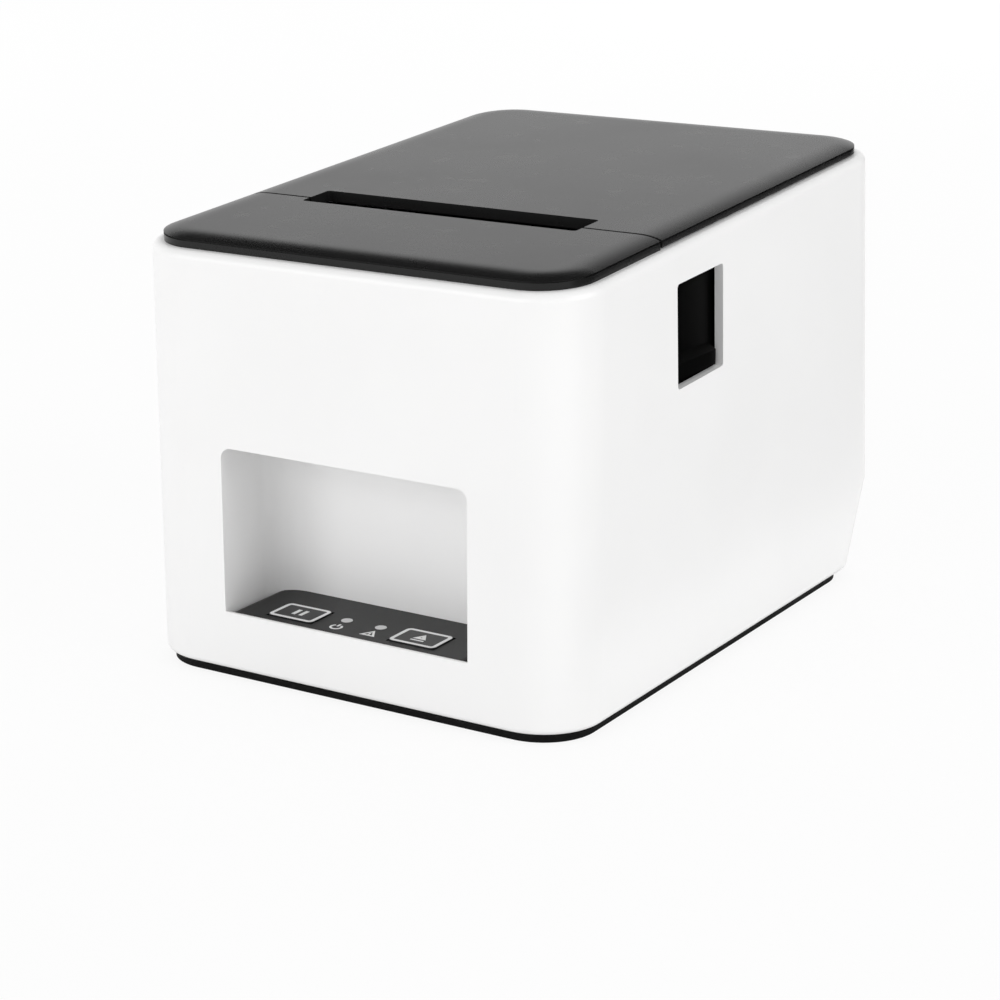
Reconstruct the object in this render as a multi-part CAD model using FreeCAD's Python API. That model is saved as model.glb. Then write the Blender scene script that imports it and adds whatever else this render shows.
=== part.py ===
"""Receipt printer: white casing, black hinged lid, roller and sprung head inside, sockets at the rear."""
import FreeCAD, Part
import math
import os

V = FreeCAD.Vector

# Driving sizes of the casing, in millimetres
width = 130.0
length = 184.4
wall = 2.4
corner_radius = 16.6
rim_height_front = 111.4
top_slope_deg = 3.97
rear_lean = 0.094
knee_height = 27.3
knee_depth = 11.1
casing_bottom = 2.7
bottom_round = 1.6
rim_inset = 3.0
rim_round = 2.2
lip_width = 2.5
lip_thickness = 3.0
opening_corner = 8.0
rear_opening_inset = 2.0

# Driving sizes of the base and feet
foot_proud = 0.3
foot_radius = 6.0
foot_recess = 1.0
foot_side = 44.0
foot_front = 22.0
foot_rear = 152.0
tray_inset = 2.1
tray_floor = 2.4
tray_step = 1.6
tray_rear_inset = 16.4

# Driving sizes of the two top covers
cover_thickness = 3.3
cover_band = 1.8
cover_groove = 0.4
groove_depth = 0.5
crown_width = 8.0
crown_steps = 12
crown_power = 3
cover_skin = 1.6
cover_side = 4.0
seam_ahead = 16.0
seam_gap = 0.9
seam_rib = 3.0
lid_lift = 0.4
slot_left_margin = 22.5
slot_right_margin = 24.9
slot_ahead = 19.7
slot_length = 12.2
slot_corner = 1.0
slot_rim = 2.5

# Driving sizes of the lid hinge
hinge_rear = 4.0
hinge_rise = 0.2
hinge_pin_radius = 0.6
hinge_ear_radius = 1.3
hinge_stem_rear = 0.3
hinge_ear_width = 7.0
hinge_ear_x = 36.0
hinge_pin_length = 19.0
hinge_gap = 0.35

# Driving sizes of the alcove and its control panel
alcove_half = 36.8
alcove_depth = 24.4
alcove_floor = 16.4
alcove_top = 62.2
alcove_fillet = 8.5
alcove_corner = 3.0
alcove_wall = 2.0
sill_thickness = 0.8
panel_thickness = 2.0
button_length = 13.6
button_depth = 10.0
button_corner = 1.0
button_from_front = 8.7
pause_x = -19.4
feed_x = 17.6
button_proud = 0.3
button_travel = 0.8
button_flange = 1.2
button_flange_height = 0.8
button_gap = 0.3
lamp_radius = 1.5
lamp_from_front = 10.6
power_lamp_x = -6.2
error_lamp_x = 4.2
lamp_proud = 0.1
key_board_thickness = 1.6
key_board_inset = 4.0
switch_size = 6.0
switch_height = 3.5
switch_play = 0.1
post_radius = 2.5

# Driving sizes of the side opening and the release lever
window_ahead = 11.6
window_length = 24.5
window_drop = 5.5
window_height = 26.9
window_tilt_deg = 3.17
window_corner = 1.0
lever_thickness = 3.6
lever_wall_gap = 1.2
lever_travel_deg = 6.0
lever_pivot_behind = 27.0
lever_pivot_drop = 19.4
lever_margin = 2.6
lever_pad_height = 5.5
lever_pad_face = 3.9
lever_pad_proud = 2.4
lever_pad_gap = 2.0
lever_post_radius = 2.0
lever_hub_radius = 5.0
cam_radius = 1.5
cam_gap = 0.4
cam_side_gap = 1.0

# Driving sizes of the paper path, roller and gears
platen_radius = 6.0
platen_ahead = 14.5
platen_drop = 15.0
shaft_radius = 2.0
bush_radius = 4.0
arm_thickness = 1.6
bush_wall = 2.0
tie_depth = 18.0
side_gap = 0.8
plate_gap = 1.8
plate_thickness = 1.5
plate_ahead = 28.0
plate_behind = 33.0
plate_drop = 7.4
notch_gap = 0.4
gear_module = 0.9
gear_width = 4.0
gear_offset = 1.6
platen_teeth = 20
idler_teeth = 24
pinion_teeth = 12
tooth_base_share = 0.45
tooth_tip_share = 0.18
mesh_gap = 0.25
pinion_angle_deg = 45.0
idler_post_radius = 1.5
shaft_tail = 4.5

# Driving sizes of the print head and its motor
head_lean_deg = 22.0
head_gap = 0.3
ceramic_thickness = 1.0
ceramic_below = 8.0
ceramic_above = 6.0
heatsink_thickness = 4.0
heatsink_below = 16.0
heatsink_above = 7.0
head_side_gap = 1.2
head_pivot_radius = 1.5
head_pivot_inset = 2.2
head_travel_deg = 3.0
cross_plate_ahead = 26.0
cross_plate_drop = 10.4
cross_plate_height = 35.0
head_spring_radius = 2.5
head_spring_x = 22.0
head_spring_gap = 0.3
motor_radius = 10.0
motor_length = 20.0
motor_ear = 2.8
motor_ear_thickness = 1.0
motor_shaft_radius = 1.0
motor_screw_radius = 1.25
motor_screw_length = 3.0

# Driving sizes of the paper bucket and the electronics
roll_radius = 41.0
bucket_wall = 2.0
bucket_hinge_gap = 2.8
bucket_side_gap = 0.8
bucket_bottom = 17.0
bucket_drop = 5.4
board_thickness = 1.6
board_height = 4.0
rear_panel_inset = 21.4
rear_panel_thickness = 2.0
rear_panel_half = 46.0
rear_panel_top = 32.0
rear_opening_half = 43.0
rear_opening_top = 29.0

# Driving sizes of the sockets and the power switch: place across, width and height
sockets = {
    "dc_inlet": (-16.0, 10.0, 11.0),
    "usb_socket": (2.0, 12.0, 11.0),
    "drawer_socket": (22.0, 14.0, 13.0),
}
socket_gap = 0.3
socket_seat = 12.0
socket_depth = 9.6
socket_wall = 1.5
inlet_pin_radius = 1.2
tongue_width = 4.8
tongue_height = 2.6
tongue_inset = 2.0
switch_x = -34.0
switch_width = 13.0
switch_tall = 16.0
switch_back = 2.0
rocker_width = 9.0
rocker_tall = 12.0
rocker_sunk = 1.5
rocker_face = 1.8
rocker_dish = 1.2
rocker_pin_radius = 1.0
rocker_travel_deg = 8.0

# Fits and fasteners
running_gap = 0.05
seat_gap = 0.02
screw_radius = 1.5
screw_head_radius = 2.8
screw_head_height = 1.6
screw_length = 9.0
screw_tip_gap = 1.0
boss_radius = 4.0
boss_height = 12.0
boss_inset = 8.0
boss_front = 35.0
boss_rear_inset = 48.4
tear_tooth = 2.0
tear_thickness = 0.8
over = 1.0

# Places worked out from the driving sizes
front = -length / 2
half = width / 2
slope = math.radians(top_slope_deg)
inner_half = half - wall
slot_left = -half + slot_left_margin
slot_right = half - slot_right_margin
path_centre = (slot_left + slot_right) / 2
tray_bottom = foot_proud
tray_top = tray_bottom + tray_floor + tray_step
tray_rear = length - tray_rear_inset
panel_top = alcove_floor + panel_thickness
key_under = alcove_floor - alcove_wall - running_gap
key_top = key_under - button_flange_height - button_travel - switch_play - switch_height
arm_left = slot_left - side_gap - arm_thickness
arm_right = slot_right + side_gap
plate_left = arm_left - plate_gap - plate_thickness
plate_right = arm_right + arm_thickness + plate_gap
gear_start = plate_right + plate_thickness + gear_offset
shaft_end = gear_start + gear_width + shaft_tail
bucket_left = slot_left - bucket_side_gap
bucket_right = slot_right + bucket_side_gap
bucket_top = rim_height_front - bucket_drop
roll_z = bucket_bottom + bucket_wall + roll_radius
board_top = tray_top + board_height + board_thickness
rear_panel_at = length - rear_panel_inset
socket_rear = rear_panel_at + rear_panel_thickness


def from_front(distance):
    """Y of a point that lies a distance behind the front face."""
    return front + distance


def rim_z(distance):
    """Height of the sloping rim plane at a distance behind the front face."""
    return rim_height_front + distance * math.tan(slope)


cover_end = (length - rear_lean * (rim_z(length) - knee_height)) / math.cos(slope) - rim_inset
hinge_s = cover_end - hinge_rear
hinge = (front + hinge_s * math.cos(slope) - hinge_rise * math.sin(slope),
         rim_height_front + hinge_s * math.sin(slope) + hinge_rise * math.cos(slope))
bucket_rear = hinge[0] - bucket_hinge_gap
roll_y = bucket_rear - bucket_wall - roll_radius
bucket_front = roll_y - roll_radius - bucket_wall
platen = (bucket_front - platen_ahead, rim_height_front - platen_drop)
platen_at = platen[0] - front
seam_at = platen_at - seam_ahead
slot_front = platen_at - slot_ahead
slot_rear = slot_front + slot_length
plate_front = platen[0] - plate_ahead
plate_rear = platen[0] + plate_behind
plate_top = rim_height_front - plate_drop
cross_plate_y = platen[0] - cross_plate_ahead
cross_plate_top = rim_height_front - cross_plate_drop
window_front = platen[0] - window_ahead
window_rear = window_front + window_length
window_top = rim_height_front - window_drop
window_bottom = window_top - window_height
reach = math.hypot(hinge[0] - platen[0], hinge[1] - platen[1])
leave = ((platen[1] - hinge[1]) / reach, (hinge[0] - platen[0]) / reach)
idler_distance = gear_module * (platen_teeth + idler_teeth) / 2
idler = (platen[0] - leave[0] * idler_distance, platen[1] - leave[1] * idler_distance)
pinion_distance = gear_module * (idler_teeth + pinion_teeth) / 2
pinion_angle = math.radians(pinion_angle_deg)
pinion = (idler[0] - pinion_distance * math.cos(pinion_angle),
          idler[1] - pinion_distance * math.sin(pinion_angle))
lean = math.radians(head_lean_deg)
head_up = (-math.sin(lean), math.cos(lean))
head_out = (math.cos(lean), math.sin(lean))
head_face = (platen[0] - (platen_radius + head_gap) * head_out[0],
             platen[1] - (platen_radius + head_gap) * head_out[1])
lever_pivot = (platen[0] + lever_pivot_behind, rim_height_front - lever_pivot_drop)
lever_outer = inner_half - lever_wall_gap
lever_inner = lever_outer - lever_thickness
rocker_axis = (from_front(socket_rear) - rocker_sunk, board_top + switch_tall / 2)


def box(x0, x1, y0, y1, z0, z1):
    """A block between two corners."""
    return Part.makeBox(x1 - x0, y1 - y0, z1 - z0, V(x0, y0, z0))


def rod_x(x0, x1, centre, radius):
    """A round bar along X; centre is its (y, z)."""
    return Part.makeCylinder(radius, x1 - x0, V(x0, centre[0], centre[1]), V(1, 0, 0))


def rod_z(x, y, z0, z1, radius):
    """A round bar along Z."""
    return Part.makeCylinder(radius, z1 - z0, V(x, y, z0), V(0, 0, 1))


def prism_x(points, x0, x1):
    """A closed (y, z) outline drawn out along X."""
    corners = [V(x0, y, z) for y, z in points]
    face = Part.Face(Part.makePolygon(corners + corners[:1]))
    return face.extrude(V(x1 - x0, 0, 0))


def round_outline(x0, x1, y0, y1, z, radius):
    """A level rounded rectangle as one wire of four lines and four arcs."""
    corners = [(x1 - radius, y0 + radius, -1), (x1 - radius, y1 - radius, 0),
               (x0 + radius, y1 - radius, 1), (x0 + radius, y0 + radius, 2)]
    arcs = []
    for cx, cy, quarter in corners:
        turns = [math.radians(90 * quarter + step) for step in (0, 45, 90)]
        points = [V(cx + radius * math.cos(t), cy + radius * math.sin(t), z) for t in turns]
        arcs.append(Part.Arc(*points))
    edges = []
    for index, arc in enumerate(arcs):
        edges.append(arc.toShape())
        edges.append(Part.LineSegment(arc.EndPoint, arcs[(index + 1) % len(arcs)].StartPoint).toShape())
    return Part.Wire(edges)


def slab(x0, x1, y0, y1, z0, z1, radius):
    """A plate with rounded upright corners."""
    return Part.Face(round_outline(x0, x1, y0, y1, z0, radius)).extrude(V(0, 0, z1 - z0))


def fuse(first, *others):
    """One solid from several that touch."""
    return first.fuse(list(others)).removeSplitter()


def tilt_top(shape):
    """Turn a shape drawn on the level rim plane, with y from the front face, onto the sloping one."""
    turn = FreeCAD.Rotation(V(1, 0, 0), top_slope_deg)
    shape.Placement = FreeCAD.Placement(V(0, front, rim_height_front), turn)
    return shape


def along_head(along, out):
    """The (y, z) of a point measured up the head's leaning face and out towards the roller."""
    return (head_face[0] + along * head_up[0] + out * head_out[0],
            head_face[1] + along * head_up[1] + out * head_out[1])


def gear(teeth, centre, phase):
    """A spur gear along X with straight-sided teeth; phase turns one tooth to that angle in the YZ plane."""
    pitch = gear_module * teeth / 2
    root = pitch - gear_module - mesh_gap
    tip = pitch + gear_module - mesh_gap / 2
    step = 2 * math.pi / teeth
    base = step * tooth_base_share
    top = step * tooth_tip_share
    points = []
    for index in range(teeth):
        angle = phase + index * step
        for radius, offset in ((root, -base / 2), (tip, -top / 2), (tip, top / 2), (root, base / 2)):
            turn = angle + offset
            points.append((centre[0] + radius * math.cos(turn), centre[1] + radius * math.sin(turn)))
    return prism_x(points, gear_start, gear_start + gear_width)


def turn_x(shape, centre, degrees):
    """Turn a shape about a line along X."""
    shape.rotate(V(0, centre[0], centre[1]), V(1, 0, 0), degrees)
    return shape


def casing_block(inset, bottom):
    """The casing's outer form, drawn in by an inset, from its bottom to above the rim."""
    above = rim_z(length) + over
    levels = ((bottom, length - knee_depth * (knee_height - bottom) / (knee_height - casing_bottom)),
              (knee_height, length), (above, length - rear_lean * (above - knee_height)))
    wires = [round_outline(-half + inset, half - inset, front + inset, from_front(rear - inset), z,
                           corner_radius - inset) for z, rear in levels]
    return Part.makeLoft(wires, True, True)


def above_rim(depth):
    """Everything above a plane that lies a depth under the sloping rim."""
    return tilt_top(box(-width, width, -length, 2 * length, -depth, length))


def top_opening():
    """The hole in the rim's lip that the inside is reached through."""
    side = half - rim_inset - lip_width
    rear = cover_end + rim_inset - rear_opening_inset
    return tilt_top(slab(-side, side, rim_inset + lip_width, rear, -2 * lip_thickness, lip_thickness,
                         opening_corner))


def window_cut():
    """The release lever's opening through the right wall."""
    shape = slab(-window_height, 0, 0, window_length, 0, 4 * wall, window_corner)
    shape.rotate(V(0, 0, 0), V(0, 1, 0), 90)
    shape.rotate(V(0, 0, 0), V(1, 0, 0), window_tilt_deg)
    shape.translate(V(half - 2 * wall, window_front, window_bottom))
    return shape


def alcove(inset, floor, ceiling, mouth):
    """The alcove's room, or with a negative inset the block that walls it in."""
    side = alcove_half - inset
    y0 = from_front(mouth)
    room = box(-side, side, y0, from_front(alcove_depth - inset), floor, ceiling)
    uprights = [e for e in room.Edges if e.BoundBox.ZLength > over and e.BoundBox.YMin > y0 + over]
    room = room.makeFillet(alcove_fillet - inset, uprights)
    corner = alcove_corner - inset
    arch = Part.Face(round_outline(-side, side, floor - 2 * corner, ceiling, 0, corner))
    arch.rotate(V(0, 0, 0), V(1, 0, 0), 90)
    arch.translate(V(0, y0, 0))
    return room.common(arch.extrude(V(0, alcove_depth - inset - mouth, 0)))


def boss_places():
    """The four corners where the casing is screwed to the base."""
    side = inner_half - boss_inset
    return [(x, from_front(y)) for x in (-side, side) for y in (boss_front, length - boss_rear_inset)]


def main_casing():
    """Casing shell with its openings and screw bosses."""
    outer = casing_block(0, casing_bottom).cut(above_rim(0))
    rim_edges = [e for e in outer.Edges
                 if all(abs(v.Z - rim_z(v.Y - front)) < seat_gap for v in e.Vertexes)]
    outer = outer.makeFillet(rim_round, rim_edges)
    low_edges = [e for e in outer.Edges if e.BoundBox.ZMax < casing_bottom + seat_gap]
    outer = outer.makeFillet(bottom_round, low_edges)
    inner = casing_block(wall, casing_bottom - wall).cut(above_rim(lip_thickness))
    shell = outer.cut(inner).cut(top_opening()).cut(window_cut())
    shell = shell.cut(alcove(0, alcove_floor, alcove_top, -wall))
    sill_rear = from_front(sill_thickness)
    shell = fuse(shell, box(-alcove_half, alcove_half, front, sill_rear, alcove_floor, panel_top))
    shell = shell.cut(box(-rear_opening_half, rear_opening_half, from_front(rear_panel_at),
                          from_front(length), 0, rear_opening_top))
    for x, y in boss_places():
        into_wall = math.copysign(inner_half + wall / 2, x)
        rail = box(min(x, into_wall), max(x, into_wall), y - boss_radius / 2, y + boss_radius / 2, tray_top,
                   tray_top + boss_height)
        shell = fuse(shell, rod_z(x, y, tray_top, tray_top + boss_height, boss_radius), rail)
        shell = shell.cut(rod_z(x, y, 0, tray_top + screw_length, screw_radius + seat_gap))
    return shell


def alcove_liner():
    """Tray-shaped liner behind the casing's front wall that makes the alcove's walls, roof and floor."""
    liner = alcove(-alcove_wall, alcove_floor - alcove_wall, alcove_top + alcove_wall, wall)
    liner = liner.cut(alcove(0, alcove_floor, alcove_top, 0))
    for x in (pause_x, feed_x):
        liner = liner.cut(button_hole(x, alcove_floor - alcove_wall, alcove_floor))
    for x in (power_lamp_x, error_lamp_x):
        liner = liner.cut(rod_z(x, from_front(lamp_from_front), 0, panel_top, lamp_radius + seat_gap))
    return liner


def button_hole(x, z0, z1):
    """The square hole that a button slides in."""
    x_half = button_length / 2 + button_gap
    y_half = button_depth / 2 + button_gap
    y = from_front(button_from_front)
    return box(x - x_half, x + x_half, y - y_half, y + y_half, z0, z1)


def foot_places():
    """The four feet under the base."""
    return [(x, from_front(y)) for x in (-foot_side, foot_side) for y in (foot_front, foot_rear)]


def base_tray():
    """Black base: a flange under the casing's edge and a floor inside it."""
    flange = slab(-half + tray_inset, half - tray_inset, front + tray_inset, from_front(tray_rear),
                  tray_bottom, casing_bottom, corner_radius - tray_inset)
    inset = wall + button_gap
    floor = slab(-half + inset, half - inset, front + inset, from_front(tray_rear - inset), tray_bottom,
                 tray_top, corner_radius - inset)
    tray = fuse(flange, floor)
    for x, y in foot_places():
        tray = tray.cut(rod_z(x, y, 0, tray_bottom + foot_recess, foot_radius))
    for x, y in boss_places():
        tray = tray.cut(rod_z(x, y, 0, tray_top, screw_radius + running_gap))
        tray = tray.cut(rod_z(x, y, 0, tray_bottom + screw_head_height, screw_head_radius + running_gap))
    return tray


def rubber_feet():
    """Four round pads let into the base."""
    return [rod_z(x, y, 0, tray_bottom + foot_recess, foot_radius) for x, y in foot_places()]


def base_screws():
    """Four screws from under the base into the casing's bosses."""
    screws = []
    for x, y in boss_places():
        head = rod_z(x, y, tray_bottom, tray_bottom + screw_head_height, screw_head_radius)
        tip = tray_top + screw_length - screw_tip_gap
        screws.append(fuse(head, rod_z(x, y, tray_bottom, tip, screw_radius)))
    return screws


def cover_outline(inset, z):
    """The outline of both covers together, drawn in by an inset."""
    side = half - rim_inset - inset
    return round_outline(-side, side, rim_inset + inset, cover_end - inset, z,
                         corner_radius - rim_inset - inset)


def cover_plate(lift):
    """Both top covers as one plate with a banded edge and a low crown, before the seam parts them."""
    low = cover_band + cover_groove
    drop = cover_thickness - low
    insets = [crown_width * step / crown_steps for step in range(crown_steps + 1)]
    wires = [cover_outline(inset, cover_thickness - drop * (1 - inset / crown_width) ** crown_power)
             for inset in insets]
    band = Part.Face(cover_outline(0, lift)).extrude(V(0, 0, cover_band - lift))
    neck = Part.Face(cover_outline(groove_depth, lift)).extrude(V(0, 0, low - lift))
    plate = fuse(band, neck, Part.makeLoft(wires, True, True))
    side = half - rim_inset - cover_side
    hollow = slab(-side, side, rim_inset + cover_side, hinge_s - hinge_rear, lift - over,
                  cover_thickness - cover_skin, corner_radius - rim_inset - cover_side)
    keep = box(slot_left - slot_rim, slot_right + slot_rim, slot_front - 2 * slot_rim, slot_rear + slot_rim,
               lift - over, cover_thickness)
    rib = box(-side, side, seam_at - seam_rib, seam_at + seam_rib, lift - over, cover_thickness)
    return plate.cut(hollow.cut(keep).cut(rib))


def slot_cut():
    """The paper slot through both covers."""
    return slab(slot_left, slot_right, slot_front, slot_rear, -over, cover_thickness + over, slot_corner)


def front_top_cover():
    """Fixed front cover, ahead of the seam."""
    keep = box(-width, width, 0, seam_at - seam_gap / 2, -over, cover_thickness + over)
    return tilt_top(cover_plate(0).common(keep).cut(slot_cut()))


def rear_lid():
    """Hinged lid, behind the seam, with knuckles under its rear edge and room for the hinge's ears."""
    keep = box(-width, width, seam_at + seam_gap / 2, length, -over, cover_thickness + over)
    lid = cover_plate(lid_lift).common(keep).cut(slot_cut())
    axis = (hinge_s, hinge_rise)
    room = hinge_ear_radius + hinge_gap
    for x in (-hinge_ear_x, hinge_ear_x):
        x0 = x - hinge_pin_length / 2 - hinge_gap
        x1 = x + hinge_pin_length / 2 + hinge_gap
        web = box(x0, x1, hinge_s - hinge_ear_radius, hinge_s + hinge_ear_radius, hinge_rise, cover_band)
        lid = fuse(lid, rod_x(x0, x1, axis, hinge_ear_radius), web)
        notch_half = hinge_ear_width / 2 + hinge_gap
        low = hinge_rise - 2 * room
        lid = lid.cut(rod_x(x - notch_half, x + notch_half, axis, room))
        lid = lid.cut(box(x - notch_half, x + notch_half, hinge_s - room, cover_end + over, low,
                          hinge_rise + hinge_stem_rear + hinge_gap))
        lid = lid.cut(rod_x(x0, x1, axis, hinge_pin_radius + running_gap))
    return tilt_top(lid)


def hinge_pins():
    """Two pins, fixed in the bucket's ears, that the lid turns on."""
    return [rod_x(x - hinge_pin_length / 2, x + hinge_pin_length / 2, hinge, hinge_pin_radius)
            for x in (-hinge_ear_x, hinge_ear_x)]


def tear_bar():
    """Toothed strip under the front edge of the slot."""
    count = int((slot_right - slot_left - 2 * slot_corner) / tear_tooth)
    begin = (slot_left + slot_right - count * tear_tooth) / 2
    points = [(begin, slot_front - 2 * slot_rim)]
    for index in range(count):
        x = begin + index * tear_tooth
        points += [(x, slot_front), (x + tear_tooth / 2, slot_front + tear_tooth / 2)]
    end = begin + count * tear_tooth
    points += [(end, slot_front), (end, slot_front - 2 * slot_rim)]
    corners = [V(x, y, 0) for x, y in points]
    strip = Part.Face(Part.makePolygon(corners + corners[:1])).extrude(V(0, 0, -tear_thickness))
    return tilt_top(strip)


def platen_bracket():
    """Steel bracket under the lid whose two arms hold the roller's bushes."""
    ceiling = cover_thickness - cover_skin
    tie_front = slot_rear + slot_rim
    shape = tilt_top(box(arm_left, arm_right + arm_thickness, tie_front, tie_front + tie_depth,
                         ceiling - arm_thickness, ceiling))
    eye = bush_radius + bush_wall
    high = rim_z(length)
    profile = [(platen[0] - eye / 2, platen[1]), (platen[0] + eye, platen[1]), (platen[0] + eye, high),
               (from_front(tie_front), high), (from_front(tie_front), platen[1] + eye)]
    for x in (arm_left, arm_right):
        arm = fuse(prism_x(profile, x, x + arm_thickness), rod_x(x, x + arm_thickness, platen, eye))
        shape = fuse(shape, arm.cut(above_rim(-ceiling)))
    for x in (arm_left, arm_right):
        shape = shape.cut(rod_x(x, x + arm_thickness, platen, bush_radius + seat_gap))
    return shape


def platen_bushes():
    """Two plain bushes in the bracket's arms."""
    bushes = []
    for x0, x1 in ((plate_left, arm_left + arm_thickness), (arm_right, plate_right + plate_thickness)):
        bore = rod_x(x0, x1, platen, shaft_radius + running_gap)
        bushes.append(rod_x(x0, x1, platen, bush_radius).cut(bore))
    return bushes


def platen_roller():
    """Rubber sleeve on the roller's shaft."""
    return rod_x(slot_left, slot_right, platen, platen_radius).cut(
        rod_x(slot_left, slot_right, platen, shaft_radius + seat_gap))


def platen_shaft():
    """Steel shaft through the sleeve, the bushes and the gear."""
    return rod_x(plate_left - shaft_tail, shaft_end, platen, shaft_radius)


def shaft_clip():
    """Ring that keeps the shaft from sliding out of its left bush."""
    x1 = plate_left - button_gap
    return rod_x(x1 - plate_thickness, x1, platen, bush_radius).cut(
        rod_x(x1 - plate_thickness, x1, platen, shaft_radius + seat_gap))


def platen_gear():
    """Gear on the right end of the roller's shaft."""
    down = math.atan2(-leave[1], -leave[0])
    return gear(platen_teeth, platen, down).cut(
        rod_x(gear_start, gear_start + gear_width, platen, shaft_radius + seat_gap))


def idler_phase():
    """Angle that puts a gap of the idler against the roller gear's tooth."""
    return math.atan2(leave[1], leave[0]) + math.pi / idler_teeth


def idler_gear():
    """Gear between the motor and the roller."""
    return gear(idler_teeth, idler, idler_phase()).cut(
        rod_x(gear_start, gear_start + gear_width, idler, idler_post_radius + running_gap))


def idler_post():
    """Fixed post, riveted in the right plate, that the idler turns on, with a head that keeps it there."""
    end = gear_start + gear_width + button_gap
    return fuse(rod_x(plate_right, end, idler, idler_post_radius),
                rod_x(end, end + plate_thickness, idler, 2 * idler_post_radius))


def motor_pinion():
    """Small gear on the motor's shaft, with a gap of its teeth towards the idler's tooth."""
    toward = math.atan2(pinion[1] - idler[1], pinion[0] - idler[0])
    steps = (toward - idler_phase()) / (2 * math.pi / idler_teeth)
    share = steps - math.floor(steps)
    phase = toward + math.pi + math.pi / pinion_teeth + share * 2 * math.pi / pinion_teeth
    return gear(pinion_teeth, pinion, phase).cut(
        rod_x(gear_start, gear_start + gear_width, pinion, motor_shaft_radius + seat_gap))


def motor_shaft():
    """Rotor shaft that carries the pinion."""
    return rod_x(plate_right - motor_length / 2, gear_start + gear_width, pinion, motor_shaft_radius)


def motor_ear_places():
    """The motor flange's two screw places."""
    reach_out = motor_radius + motor_ear
    return [(pinion[0] - reach_out, pinion[1]), (pinion[0] + reach_out, pinion[1])]


def stepper_motor():
    """Round motor can with a flange against the right plate."""
    can = rod_x(plate_right - motor_length, plate_right, pinion, motor_radius)
    reach_out = motor_radius + 2 * motor_ear
    ears = box(plate_right - motor_ear_thickness, plate_right, pinion[0] - reach_out, pinion[0] + reach_out,
               pinion[1] - motor_ear, pinion[1] + motor_ear)
    motor = fuse(can, ears)
    for place in motor_ear_places():
        motor = motor.cut(rod_x(plate_right - motor_ear_thickness, plate_right, place,
                                motor_screw_radius + running_gap))
    return motor.cut(rod_x(plate_right - motor_length / 2, plate_right, pinion,
                           motor_shaft_radius + running_gap))


def motor_screws():
    """Two screws through the motor's flange into the right plate."""
    screws = []
    for place in motor_ear_places():
        under = plate_right - motor_ear_thickness
        screws.append(fuse(rod_x(under, under + motor_screw_length, place, motor_screw_radius),
                           rod_x(under - motor_screw_radius, under, place, 2 * motor_screw_radius)))
    return screws


def side_plate(x):
    """Upright steel plate with a notch, open along the roller's way out, for a bush."""
    plate = box(x, x + plate_thickness, plate_front, plate_rear, tray_top, plate_top)
    room = bush_radius + notch_gap
    slot = prism_x([(platen[0] - leave[1] * room, platen[1] + leave[0] * room),
                    (platen[0] + leave[1] * room, platen[1] - leave[0] * room),
                    (platen[0] + leave[1] * room + leave[0] * plate_top,
                     platen[1] - leave[0] * room + leave[1] * plate_top),
                    (platen[0] - leave[1] * room + leave[0] * plate_top,
                     platen[1] + leave[0] * room + leave[1] * plate_top)], x, x + plate_thickness)
    plate = plate.cut(slot).cut(rod_x(x, x + plate_thickness, platen, room))
    pivot = along_head(-heatsink_below + head_pivot_inset, -ceramic_thickness - heatsink_thickness / 2)
    return plate.cut(rod_x(x, x + plate_thickness, pivot, head_pivot_radius + seat_gap))


def right_side_plate():
    """Right plate, which also carries the motor, the idler and the lever's post."""
    plate = side_plate(plate_right)
    x1 = plate_right + plate_thickness
    plate = plate.cut(rod_x(plate_right, x1, pinion, 3 * motor_shaft_radius))
    plate = plate.cut(rod_x(plate_right, x1, idler, idler_post_radius + seat_gap))
    plate = plate.cut(rod_x(plate_right, x1, lever_pivot, lever_post_radius + seat_gap))
    for place in motor_ear_places():
        plate = plate.cut(rod_x(plate_right, x1, place, motor_screw_radius + seat_gap))
    return plate


def cross_plate():
    """Plate across the front of the mechanism that ties both side plates and backs the head's springs."""
    return box(plate_left + plate_thickness, plate_right, cross_plate_y, cross_plate_y + plate_thickness,
               cross_plate_top - cross_plate_height, cross_plate_top)


def head_block(below, above, inner, outer, side):
    """A plate that lies along the head's leaning face."""
    points = [along_head(-below, inner), along_head(above, inner), along_head(above, outer),
              along_head(-below, outer)]
    return prism_x(points, slot_left + side, slot_right - side)


def print_head():
    """Ceramic heating strip that faces the roller."""
    return head_block(ceramic_below, ceramic_above, -ceramic_thickness, 0, head_side_gap)


def head_heatsink():
    """Aluminium plate behind the strip, which turns on the head's pivot."""
    plate = head_block(heatsink_below, heatsink_above, -ceramic_thickness - heatsink_thickness,
                       -ceramic_thickness, head_side_gap)
    return plate.cut(head_pivot(running_gap))


def head_pivot(gap):
    """Shaft through the heatsink's foot, from one side plate to the other."""
    centre = along_head(-heatsink_below + head_pivot_inset, -ceramic_thickness - heatsink_thickness / 2)
    return rod_x(plate_left, plate_right + plate_thickness, centre, head_pivot_radius + gap)


def head_springs():
    """Two springs, drawn as plain sleeves, from the cross plate to just short of the heatsink."""
    springs = []
    y0 = cross_plate_y + plate_thickness
    for side in (-head_spring_x, head_spring_x):
        face = along_head(0, -ceramic_thickness - heatsink_thickness)
        swing = (heatsink_below + head_spring_radius) * math.tan(math.radians(head_travel_deg))
        near = face[0] - head_spring_radius * math.tan(lean) - swing - head_spring_gap
        base = V(path_centre + side, y0, face[1])
        sleeve = Part.makeCylinder(head_spring_radius, near - y0, base, V(0, 1, 0))
        springs.append(sleeve.cut(Part.makeCylinder(head_spring_radius / 2, near - y0, base, V(0, 1, 0))))
    return springs


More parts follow.
